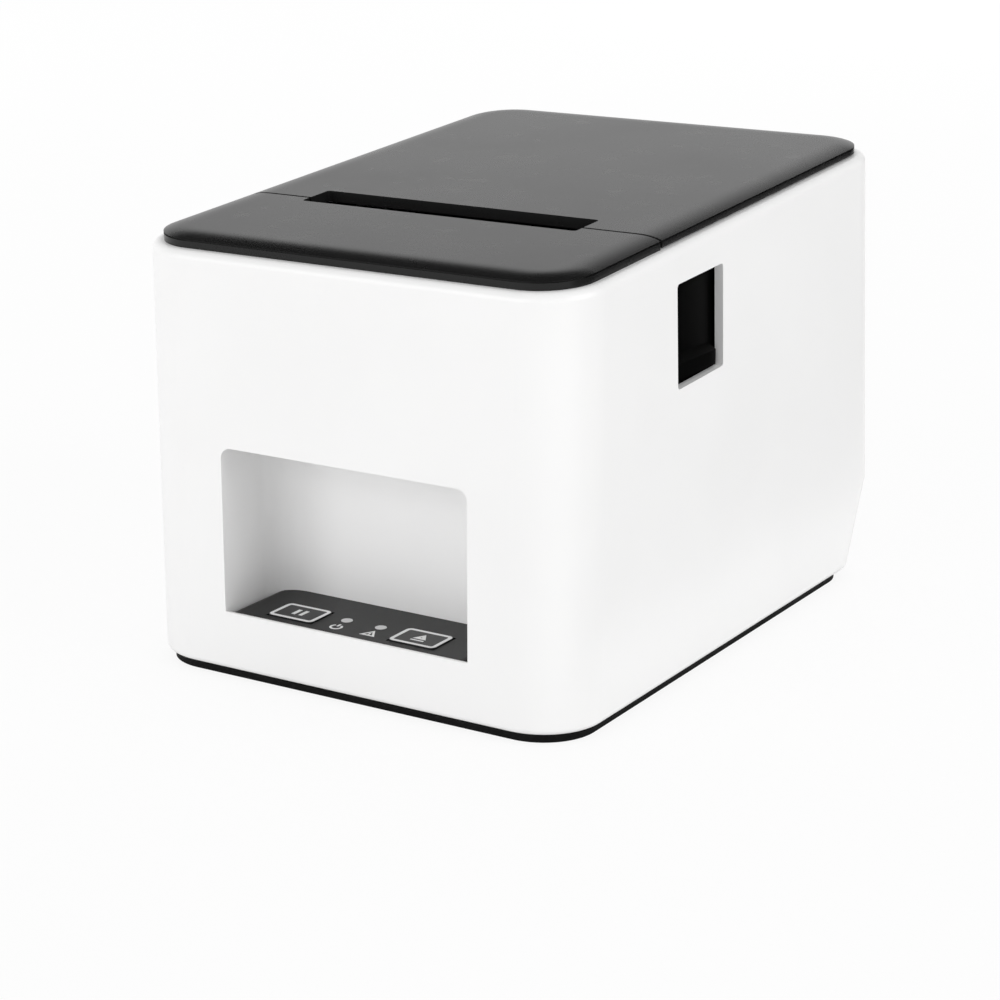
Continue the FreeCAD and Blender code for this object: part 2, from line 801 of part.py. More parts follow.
def release_lever():
    """Lever behind the side opening: a plate with a finger pad, a hub and a cam under the roller's shaft."""
    y0 = window_front - lever_margin
    y1 = window_rear + lever_margin
    z0 = window_bottom - lever_margin
    plate = box(lever_inner, lever_outer, y0, y1, z0, window_top)
    link = prism_x([(y1 - lever_margin, z0), (lever_pivot[0], lever_pivot[1] - lever_hub_radius),
                    (lever_pivot[0], lever_pivot[1] + lever_hub_radius), (y1 - lever_margin, window_top)],
                   lever_inner, lever_outer)
    pad_z = window_bottom + lever_pad_gap
    pad_front = window_front + lever_pad_gap
    pad_rear = window_rear - lever_pad_gap
    out = lever_outer + lever_pad_proud
    pad = Part.makePolygon([V(lever_outer, pad_front, pad_z), V(out, pad_front, pad_z),
                            V(out, pad_front, pad_z + lever_pad_face),
                            V(lever_outer, pad_front, pad_z + lever_pad_height),
                            V(lever_outer, pad_front, pad_z)])
    pad = Part.Face(pad).extrude(V(0, pad_rear - pad_front, 0))
    hub = rod_x(lever_inner, lever_outer, lever_pivot, lever_hub_radius)
    lift = (lever_pivot[0] - platen[0]) * math.sin(math.radians(lever_travel_deg))
    cam_at = (platen[0], platen[1] - shaft_radius - cam_gap - cam_radius - lift)
    cam = rod_x(gear_start + gear_width + cam_side_gap, lever_inner, cam_at, cam_radius)
    lever = fuse(plate, link, pad, hub, cam)
    return lever.cut(rod_x(lever_inner, lever_outer, lever_pivot, lever_post_radius + running_gap))


def lever_post():
    """Post on the right plate that the lever turns on."""
    return rod_x(plate_right, lever_outer + button_gap, lever_pivot, lever_post_radius)


def lever_spring():
    """Return spring round the post, drawn as a plain sleeve."""
    x0 = plate_right + plate_thickness
    return rod_x(x0, lever_inner - button_gap, lever_pivot, 2 * lever_post_radius).cut(
        rod_x(x0, lever_inner, lever_pivot, lever_post_radius + running_gap))


def control_panel():
    """Black floor of the alcove with holes for the buttons and lamps."""
    panel = alcove(seat_gap, alcove_floor, panel_top, sill_thickness + seat_gap)
    for x in (pause_x, feed_x):
        panel = panel.cut(button_hole(x, alcove_floor, panel_top))
    for x in (power_lamp_x, error_lamp_x):
        panel = panel.cut(rod_z(x, from_front(lamp_from_front), alcove_floor, panel_top,
                                lamp_radius + seat_gap))
    return panel


def button(x):
    """Push button: a cap that passes through the panel and a flange under it."""
    y = from_front(button_from_front)
    x_half = button_length / 2
    y_half = button_depth / 2
    low = key_under - button_flange_height
    cap = slab(x - x_half, x + x_half, y - y_half, y + y_half, low, panel_top + button_proud, button_corner)
    x_half += button_flange
    y_half += button_flange
    return fuse(cap, box(x - x_half, x + x_half, y - y_half, y + y_half, low, key_under))


def lamp_lens(x):
    """Clear light pipe from the key board up through the panel."""
    return rod_z(x, from_front(lamp_from_front), key_top, panel_top + lamp_proud, lamp_radius)


def key_board():
    """Small circuit board under the alcove on two posts of the base."""
    side = alcove_half - key_board_inset
    low = key_top - key_board_thickness
    board = box(-side, side, from_front(key_board_inset), from_front(alcove_depth - key_board_inset), low,
                key_top)
    posts = [rod_z(x, from_front(alcove_depth / 2), tray_top, low, post_radius)
             for x in (-side + post_radius, side - post_radius)]
    return fuse(board, *posts)


def tact_switches():
    """Two switches on the key board under the buttons."""
    y = from_front(button_from_front)
    return [box(x - switch_size / 2, x + switch_size / 2, y - switch_size / 2, y + switch_size / 2, key_top,
                key_top + switch_height) for x in (pause_x, feed_x)]


def bucket_outline(radius, top):
    """A U-shaped (y, z) section: a half circle under two uprights."""
    y0 = roll_y - radius
    y1 = roll_y + radius
    arc = Part.Arc(V(0, y0, roll_z), V(0, roll_y, roll_z - radius), V(0, y1, roll_z))
    corners = [V(0, y1, roll_z), V(0, y1, top), V(0, y0, top), V(0, y0, roll_z)]
    sides = [Part.LineSegment(a, b).toShape() for a, b in zip(corners, corners[1:])]
    return Part.Face(Part.Wire([arc.toShape()] + sides))


def paper_bucket():
    """Open bucket for the paper roll, on two legs, with the lid's hinge ears on its rear edge."""
    outer = bucket_outline(roll_radius + bucket_wall, bucket_top)
    outer.translate(V(bucket_left - bucket_wall, 0, 0))
    bucket = outer.extrude(V(bucket_right - bucket_left + 2 * bucket_wall, 0, 0))
    inner = bucket_outline(roll_radius, bucket_top + over)
    inner.translate(V(bucket_left, 0, 0))
    bucket = bucket.cut(inner.extrude(V(bucket_right - bucket_left, 0, 0)))
    for x in (-hinge_ear_x, hinge_ear_x):
        x0 = x - hinge_ear_width / 2
        x1 = x + hinge_ear_width / 2
        rear = hinge[0] + hinge_stem_rear
        stem = box(x0, x1, hinge[0] - hinge_ear_radius, rear, roll_z, hinge[1])
        foot = box(x0, x1, bucket_rear - bucket_wall / 2, rear, roll_z, bucket_top)
        bucket = fuse(bucket, stem, foot, rod_x(x0, x1, hinge, hinge_ear_radius))
        bucket = bucket.cut(rod_x(x0, x1, hinge, hinge_pin_radius + seat_gap))
    for x in (bucket_left - bucket_wall, bucket_right):
        leg = box(x, x + bucket_wall, roll_y - roll_radius / 2, roll_y + roll_radius / 2, tray_top, roll_z)
        bucket = fuse(bucket, leg)
    return bucket


def main_board():
    """Main circuit board on four posts of the base."""
    z = tray_top + board_height
    x0 = bucket_left + post_radius
    x1 = bucket_right - post_radius
    y0 = plate_rear + post_radius
    y1 = from_front(rear_panel_at)
    posts = [rod_z(x, y, tray_top, z, post_radius) for x in (x0 + 2 * post_radius, x1 - 2 * post_radius)
             for y in (y0 + 2 * post_radius, y1 - 3 * post_radius)]
    return fuse(box(x0, x1, y0, y1, z, z + board_thickness), *posts)


def socket_body(name):
    """A connector on the rear edge of the main board that fills its hole in the rear panel."""
    x, wide, tall = sockets[name]
    y1 = from_front(socket_rear)
    y0 = y1 - socket_depth
    body = box(x - wide / 2, x + wide / 2, y1 - socket_seat, y1, board_top, board_top + tall)
    middle = board_top + tall / 2
    x_half = wide / 2 - socket_wall
    z_half = tall / 2 - socket_wall
    end = y1 - tongue_inset
    if name == "dc_inlet":
        hole = Part.makeCylinder(min(x_half, z_half), socket_depth, V(x, y0, middle), V(0, 1, 0))
        pin = Part.makeCylinder(inlet_pin_radius, end - y0 + over, V(x, y0 - over, middle), V(0, 1, 0))
        return fuse(body.cut(hole), pin)
    body = body.cut(box(x - x_half, x + x_half, y0, y1, middle - z_half, middle + z_half))
    if name == "drawer_socket":
        return body
    tongue = box(x - tongue_width / 2, x + tongue_width / 2, y0 - over, end, middle - tongue_height / 2,
                 middle + tongue_height / 2)
    return fuse(body, tongue)


def rear_panel():
    """Upright plate on the base behind the rear opening, with holes for the sockets and the switch."""
    y0 = from_front(rear_panel_at)
    y1 = y0 + rear_panel_thickness
    panel = box(-rear_panel_half, rear_panel_half, y0, y1, tray_top, rear_panel_top)
    for x, wide, tall in sockets.values():
        x_half = wide / 2 + socket_gap
        panel = panel.cut(box(x - x_half, x + x_half, y0, y1, board_top - socket_gap,
                              board_top + tall + socket_gap))
    return panel.cut(box(switch_x - switch_width / 2, switch_x + switch_width / 2, y0, y1, board_top,
                         board_top + switch_tall))


def switch_housing():
    """Frame of the power switch, held in the rear panel."""
    y1 = from_front(socket_rear)
    y0 = y1 - socket_depth
    body = box(switch_x - switch_width / 2, switch_x + switch_width / 2, y0, y1, board_top,
               board_top + switch_tall)
    x_half = rocker_width / 2 + button_gap
    z_half = rocker_tall / 2 + button_gap
    room = box(switch_x - x_half, switch_x + x_half, y0 + switch_back, y1, rocker_axis[1] - z_half,
               rocker_axis[1] + z_half)
    return body.cut(room).cut(rocker_pin(running_gap))


def rocker_pin(gap):
    """The rocker's two stub pins as one bar."""
    reach_out = (switch_width + rocker_width) / 4 + gap
    return rod_x(switch_x - reach_out, switch_x + reach_out, rocker_axis, rocker_pin_radius + gap)


def power_rocker():
    """Rocker key with a dished face, on two stub pins."""
    y, z = rocker_axis
    tall = rocker_tall / 2 - button_gap
    key = prism_x([(y - rocker_dish, z - tall), (y + rocker_face, z - tall), (y + rocker_dish, z),
                   (y + rocker_face, z + tall), (y - rocker_dish, z + tall), (y - rocker_face, z)],
                  switch_x - rocker_width / 2, switch_x + rocker_width / 2)
    return turn_x(fuse(key, rocker_pin(0)), rocker_axis, -rocker_travel_deg)


def near_end_sensor():
    """Small sensor block on the bucket's left wall that sees a nearly used roll."""
    x1 = bucket_left - bucket_wall
    z = roll_z - roll_radius / 2
    return box(x1 - switch_size, x1, roll_y - switch_size, roll_y + switch_size, z, z + switch_size)


def paper_sensor():
    """Sensor block on the bucket's front edge under the paper's way to the roller."""
    z1 = bucket_top - 3 * switch_size
    return box(path_centre - switch_size, path_centre + switch_size, bucket_front - switch_height,
               bucket_front, z1 - switch_size, z1)


def cover_switch():
    """Switch on the left plate that feels whether the lid is shut."""
    return box(plate_left - switch_size, plate_left, plate_rear - 2 * switch_size, plate_rear,
               plate_top - 2 * switch_size, plate_top)


def main():
    """Build every piece and write one file for each."""
    pieces = {
        "base_tray": base_tray(),
        "rubber_feet": rubber_feet(),
        "base_screws": base_screws(),
        "main_casing": main_casing(),
        "alcove_liner": alcove_liner(),
        "front_top_cover": front_top_cover(),
        "tear_bar": tear_bar(),
        "rear_lid": rear_lid(),
        "hinge_pins": hinge_pins(),
        "platen_bracket": platen_bracket(),
        "platen_bushes": platen_bushes(),
        "platen_roller": platen_roller(),
        "platen_shaft": platen_shaft(),
        "shaft_clip": shaft_clip(),
        "platen_gear": platen_gear(),
        "idler_gear": idler_gear(),
        "idler_post": idler_post(),
        "motor_pinion": motor_pinion(),
        "motor_shaft": motor_shaft(),
        "stepper_motor": stepper_motor(),
        "motor_screws": motor_screws(),
        "left_side_plate": side_plate(plate_left),
        "right_side_plate": right_side_plate(),
        "cross_plate": cross_plate(),
        "print_head": print_head(),
        "head_heatsink": head_heatsink(),
        "head_pivot_shaft": head_pivot(0),
        "head_springs": head_springs(),
        "release_lever": release_lever(),
        "lever_post": lever_post(),
        "lever_spring": lever_spring(),
        "control_panel": control_panel(),
        "pause_button": button(pause_x),
        "feed_button": button(feed_x),
        "power_lamp_lens": lamp_lens(power_lamp_x),
        "error_lamp_lens": lamp_lens(error_lamp_x),
        "key_board": key_board(),
        "tact_switches": tact_switches(),
        "paper_bucket": paper_bucket(),
        "main_board": main_board(),
        "rear_panel": rear_panel(),
        "switch_housing": switch_housing(),
        "power_rocker": power_rocker(),
        "near_end_sensor": near_end_sensor(),
        "paper_sensor": paper_sensor(),
        "cover_switch": cover_switch(),
    }
    pieces.update({name: socket_body(name) for name in sockets})
    os.makedirs("parts", exist_ok=True)
    for name, shape in pieces.items():
        solid = Part.makeCompound(shape) if isinstance(shape, list) else shape
        print(name, len(solid.Solids), solid.isValid(), round(solid.Volume, 1))
        solid.exportStep(os.path.join("parts", name + ".step"))


main()
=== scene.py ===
"""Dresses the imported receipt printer.

Moulded plastics, metals, printed signs, wound springs and a white studio.
"""

import logging
import math
from dataclasses import dataclass, field
from enum import Enum
from typing import Any, Optional, Sequence, Union

import bpy
import numpy as np
from mathutils import Matrix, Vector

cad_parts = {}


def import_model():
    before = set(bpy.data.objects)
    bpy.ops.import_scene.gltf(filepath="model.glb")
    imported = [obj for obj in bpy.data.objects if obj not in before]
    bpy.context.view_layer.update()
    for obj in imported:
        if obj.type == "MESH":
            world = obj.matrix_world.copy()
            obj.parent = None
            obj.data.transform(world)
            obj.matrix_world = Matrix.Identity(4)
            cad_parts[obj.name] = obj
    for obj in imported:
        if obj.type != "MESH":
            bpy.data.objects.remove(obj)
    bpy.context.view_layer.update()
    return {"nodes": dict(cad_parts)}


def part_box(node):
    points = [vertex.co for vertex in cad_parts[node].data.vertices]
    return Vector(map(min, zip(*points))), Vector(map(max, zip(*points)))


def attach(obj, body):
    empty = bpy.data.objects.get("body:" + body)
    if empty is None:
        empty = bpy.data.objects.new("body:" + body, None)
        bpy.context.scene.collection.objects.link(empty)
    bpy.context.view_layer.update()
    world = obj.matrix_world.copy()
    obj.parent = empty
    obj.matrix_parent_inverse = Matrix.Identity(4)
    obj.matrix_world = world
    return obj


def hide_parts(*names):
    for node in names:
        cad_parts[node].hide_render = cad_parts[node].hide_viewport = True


logging.basicConfig(level=logging.INFO, format="%(message)s")
log = logging.getLogger("printer")

Array = np.ndarray
Shape = tuple[Array, Array]
Strip = tuple[Array, float, bool]
Span = tuple[float, float]
Triple = tuple[float, float, float]
MM = 0.001
NOISE_MIDDLE = 0.5
WHITE = (1, 1, 1, 1)


class Body(str, Enum):
    """The bodies of the printer that a piece can ride on."""

    CASE = "printer_body"
    LID = "lid"
    PAUSE = "pause_key"
    FEED = "feed_key"
    ROCKER = "rocker"
    HEAD = "head"


class Lay(Enum):
    """The direction that the lines of a brushed or drawn metal run in."""

    ALONG_X = (0.04, 1.0, 1.0)
    ALONG_Y = (1.0, 0.04, 1.0)
    ALONG_Z = (1.0, 1.0, 0.04)


class Sock:
    """One value in a material; arithmetic on it adds Math nodes."""

    def __init__(self, graph: "Graph", socket: Any) -> None:
        """Keep the graph and the output socket."""
        self.graph = graph
        self.socket = socket

    def _math(self, operation: str, first: Any, second: Any) -> "Sock":
        """Add one Math node for an operation on two values."""
        return self.graph.node("ShaderNodeMath", {"operation": operation}, {0: first, 1: second})

    def __add__(self, other: Any) -> "Sock":
        """Sum."""
        return self._math("ADD", self, other)

    def __radd__(self, other: Any) -> "Sock":
        """Sum with a number on the left."""
        return self._math("ADD", other, self)

    def __sub__(self, other: Any) -> "Sock":
        """Difference."""
        return self._math("SUBTRACT", self, other)

    def __rsub__(self, other: Any) -> "Sock":
        """Difference with a number on the left."""
        return self._math("SUBTRACT", other, self)

    def __rmul__(self, other: Any) -> "Sock":
        """Product with a number on the left."""
        return self._math("MULTIPLY", other, self)

    def swing(self, amount: float) -> "Sock":
        """The value's distance from a noise's middle, scaled by an amount."""
        return amount * (self - NOISE_MIDDLE)

    def over(self, low: float, high: float) -> "Sock":
        """Smooth step from 0 at low to 1 at high."""
        return self.graph.node("ShaderNodeMapRange", {"interpolation_type": "SMOOTHSTEP"},
                               {"Value": self, "From Min": low, "From Max": high})


class Graph:
    """A material's node tree, built by calls."""

    def __init__(self, name: str) -> None:
        """Make an empty material with an output."""
        self.material = bpy.data.materials.new(name)
        self.material.use_nodes = True
        self.tree = self.material.node_tree
        self.tree.nodes.clear()
        self.output = self.tree.nodes.new("ShaderNodeOutputMaterial")

    def node(self, kind: str, settings: Optional[dict[str, Any]] = None,
             sockets: Optional[dict[Any, Any]] = None, out: Union[int, str] = 0) -> Sock:
        """Add any node.

        Args:
            kind: the node's type name.
            settings: attributes, set before the sockets.
            sockets: input name or index to a number, colour or Sock.
            out: the output to return.

        Returns:
            The chosen output as a Sock.
        """
        made = self.tree.nodes.new(kind)
        for name, value in (settings or {}).items():
            setattr(made, name, value)
        for key, value in (sockets or {}).items():
            if isinstance(value, Sock):
                self.tree.links.new(value.socket, made.inputs[key])
            else:
                made.inputs[key].default_value = value
        return Sock(self, made.outputs[out])

    def place(self, stretch: Sequence[float] = (1.0, 1.0, 1.0)) -> Sock:
        """Object coordinates in metres, stretched along the axes."""
        coords = self.node("ShaderNodeTexCoord", out="Object")
        return self.node("ShaderNodeMapping", sockets={"Vector": coords, "Scale": stretch})

    def noise(self, where: Sock, size: float, detail: float = 3.0, roughness: float = 0.5) -> Sock:
        """Noise whose lumps are about a size across, in metres."""
        return self.node("ShaderNodeTexNoise",
                         sockets={"Vector": where, "Scale": 1.0 / size, "Detail": detail,
                                  "Roughness": roughness})

    def blend(self, share: Any, first: Any, second: Any) -> Sock:
        """Mix two colours by a share from 0 to 1."""
        mixer = {"data_type": "RGBA", "clamp_factor": True}
        paint = [(*c, 1.0) if isinstance(c, tuple) else c for c in (first, second)]
        return self.node("ShaderNodeMix", mixer, {0: share, 6: paint[0], 7: paint[1]}, out=2)

    def bump(self, height: Sock, strength: float, depth: float) -> Sock:
        """Turn a height into a bumped normal; depth is in metres."""
        return self.node("ShaderNodeBump",
                         sockets={"Height": height, "Strength": strength, "Distance": depth})

    def skin(self, **inputs: Any) -> bpy.types.Material:
        """Finish the material with one Principled shader; names use _ for a space."""
        named = {key.replace("_", " "): value for key, value in inputs.items()}
        shader = self.node("ShaderNodeBsdfPrincipled", sockets=named)
        return self.surface(shader)

    def surface(self, shader: Sock) -> bpy.types.Material:
        """Finish the material with any shader."""
        self.tree.links.new(shader.socket, self.output.inputs["Surface"])
        return self.material


def linear(level: float) -> float:
    """Linear value of a 0 to 1 display level, by the sRGB curve."""
    return level / 12.92 if level <= 0.04045 else ((level + 0.055) / 1.055) ** 2.4


def grey(level: float, warm: float = 0.0) -> Triple:
    """A grey given as a display level, a touch warmer or cooler."""
    value = linear(level)
    return (value * (1 + warm), value, value * (1 - warm))


def dimmed(colour: Triple, share: float) -> Triple:
    """A colour at a share of its brightness."""
    return tuple(c * share for c in colour)


@dataclass(frozen=True)
class MouldedPlastic:
    """Injection-moulded plastic with a fine spark grain and faint clouding."""

    name: str
    colour: Triple
    roughness: float
    grain: float = 0.35 * MM
    depth: float = 0.01 * MM
    strength: float = 0.25
    cloud: float = 0.03
    gloss: float = 0.5
    cloud_size: float = 40 * MM
    cloud_span: Span = (0.3, 0.7)
    touch_size: float = 9 * MM
    touch_span: Span = (0.55, 0.8)
    cloud_swing: float = 0.05
    grain_swing: float = 0.03
    touch_polish: float = 0.03

    def material(self) -> bpy.types.Material:
        """Grain drives the bump; clouds, grain and touch marks drive colour and roughness."""
        g = Graph(self.name)
        where = g.place()
        clouds = g.noise(where, self.cloud_size, detail=2.0)
        fine = g.noise(where, self.grain, detail=2.0, roughness=0.6)
        marks = g.noise(where, self.touch_size, detail=4.0, roughness=0.65)
        tint = g.blend(clouds.over(*self.cloud_span), dimmed(self.colour, 1 - self.cloud),
                       self.colour)
        rough = self.roughness + clouds.swing(self.cloud_swing) + fine.swing(self.grain_swing)
        rough -= self.touch_polish * marks.over(*self.touch_span)
        return g.skin(Base_Color=tint, Roughness=rough, Specular_IOR_Level=self.gloss,
                      Normal=g.bump(fine, self.strength, self.depth))


@dataclass(frozen=True)
class BrushedMetal:
    """Rolled, drawn or turned metal with fine lines along one direction."""

    name: str
    colour: Triple
    roughness: float
    lay: Lay = Lay.ALONG_X
    line: float = 0.25 * MM
    line_swing: float = 0.18
    line_bump: float = 0.2
    line_depth: float = 0.02 * MM
    stain_size: float = 12 * MM
    stain_span: Span = (0.45, 0.75)
    stain_dim: float = 0.82
    stain_swing: float = 0.12

    def material(self) -> bpy.types.Material:
        """Stretched noise drives roughness and bump; broad stains drive colour and roughness."""
        g = Graph(self.name)
        lines = g.noise(g.place(self.lay.value), self.line, detail=3.0, roughness=0.6)
        stain = g.noise(g.place(), self.stain_size, detail=4.0, roughness=0.6)
        tint = g.blend(stain.over(*self.stain_span), self.colour,
                       dimmed(self.colour, self.stain_dim))
        rough = self.roughness + lines.swing(self.line_swing) + stain.swing(self.stain_swing)
        return g.skin(Base_Color=tint, Metallic=1.0, Roughness=rough,
                      Normal=g.bump(lines, self.line_bump, self.line_depth))


@dataclass(frozen=True)
class RubberSkin:
    """Matt ground rubber with a dusty bloom."""

    name: str
    colour: Triple
    roughness: float = 0.82
    lump: float = 0.5 * MM
    lump_polish: float = 0.1
    lump_bump: float = 0.35
    lump_depth: float = 0.03 * MM
    bloom: Triple = grey(0.34)
    bloom_size: float = 5 * MM
    bloom_span: Span = (0.45, 0.8)
    bloom_share: float = 0.25

    def material(self) -> bpy.types.Material:
        """Fine lumps drive the bump and the roughness; a pale bloom drives the colour."""
        g = Graph(self.name)
        where = g.place()
        lumps = g.noise(where, self.lump, detail=4.0, roughness=0.65)
        dust = g.noise(where, self.bloom_size).over(*self.bloom_span)
        return g.skin(Base_Color=g.blend(self.bloom_share * dust, self.colour, self.bloom),
                      Roughness=self.roughness - self.lump_polish * lumps,
                      Normal=g.bump(lumps, self.lump_bump, self.lump_depth))


@dataclass(frozen=True)
class PrintedInk:
    """Screen-printed pale ink, thinner at small specks."""

    name: str
    colour: Triple
    roughness: float = 0.5
    speck: float = 0.2 * MM
    speck_span: Span = (0.62, 0.75)
    speck_dim: float = 0.75
    speck_dull: float = 0.1

    def material(self) -> bpy.types.Material:
        """Small specks thin the ink."""
        g = Graph(self.name)
        specks = g.noise(g.place(), self.speck, roughness=0.6).over(*self.speck_span)
        return g.skin(Base_Color=g.blend(specks, self.colour, dimmed(self.colour, self.speck_dim)),
                      Roughness=self.roughness + self.speck_dull * specks)


@dataclass(frozen=True)
class FrostedLens:
    """Unlit indicator lens: milky plastic that scatters light."""

    name: str
    colour: Triple
    roughness: float = 0.35
    frost: float = 0.15 * MM
    frost_span: Span = (0.3, 0.7)
    frost_dim: float = 0.85
    frost_dull: float = 0.1
    frost_bump: float = 0.15
    frost_depth: float = 0.01 * MM
    scatter: float = 0.3
    scatter_radius: float = 1 * MM

    def material(self) -> bpy.types.Material:
        """Fine frosting drives colour, roughness and bump."""
        g = Graph(self.name)
        frost = g.noise(g.place(), self.frost, detail=2.0)
        tint = g.blend(frost.over(*self.frost_span), dimmed(self.colour, self.frost_dim),
                       self.colour)
        return g.skin(Base_Color=tint, Roughness=self.roughness + self.frost_dull * frost,
                      Subsurface_Weight=self.scatter,
                      Subsurface_Radius=(self.scatter_radius,) * 3,
                      Normal=g.bump(frost, self.frost_bump, self.frost_depth))


@dataclass(frozen=True)
class SolderMask:
    """Green circuit board with a maze of tracks and pads under the mask."""

    name: str
    colour: Triple
    roughness: float = 0.34
    track_cell: float = 4.8 * MM
    track_jitter: float = 0.6
    track_span: Span = (0.34, 0.38)
    track_dim: float = 0.55
    track_dull: float = 0.1
    track_bump: float = 0.3
    track_depth: float = 0.04 * MM
    pad: Triple = (0.55, 0.52, 0.45)
    pad_cell: float = 3.6 * MM
    pad_jitter: float = 0.35
    pad_span: Span = (0.16, 0.2)
    pad_share: float = 0.8
    pad_metal: float = 0.7

    def material(self) -> bpy.types.Material:
        """Square cells give tracks, smaller round cells give pads."""
        g = Graph(self.name)
        where = g.place()
        tracks = g.node("ShaderNodeTexVoronoi", {"distance": "CHEBYCHEV", "feature": "F1"},
                        {"Vector": where, "Scale": 1 / self.track_cell,
                         "Randomness": self.track_jitter}).over(*self.track_span)
        pads = 1 - g.node("ShaderNodeTexVoronoi",
                          sockets={"Vector": where, "Scale": 1 / self.pad_cell,
                                   "Randomness": self.pad_jitter}).over(*self.pad_span)
        mask = g.blend(tracks, self.colour, dimmed(self.colour, self.track_dim))
        return g.skin(Base_Color=g.blend(self.pad_share * pads, mask, self.pad),
                      Roughness=self.roughness + self.track_dull * tracks,
                      Metallic=self.pad_metal * pads,
                      Normal=g.bump(tracks, self.track_bump, self.track_depth))


@dataclass(frozen=True)
class GlazedCeramic:
    """Glazed strip of the print head."""

    name: str
    colour: Triple
    roughness: float = 0.12
    speckle: float = 0.6 * MM
    speckle_span: Span = (0.45, 0.7)
    speckle_warmth: Triple = (0.9, 0.85, 0.75)
    speckle_dull: float = 0.1
    speckle_bump: float = 0.05
    speckle_depth: float = 0.01 * MM
    glaze: float = 0.5

    def material(self) -> bpy.types.Material:
        """Fine speckle in the glaze drives colour, roughness and bump."""
        g = Graph(self.name)
        speckle = g.noise(g.place(), self.speckle)
        warm = tuple(c * s for c, s in zip(self.colour, self.speckle_warmth))
        return g.skin(Base_Color=g.blend(speckle.over(*self.speckle_span), self.colour, warm),
                      Roughness=self.roughness + self.speckle_dull * speckle,
                      Coat_Weight=self.glaze,
                      Normal=g.bump(speckle, self.speckle_bump, self.speckle_depth))


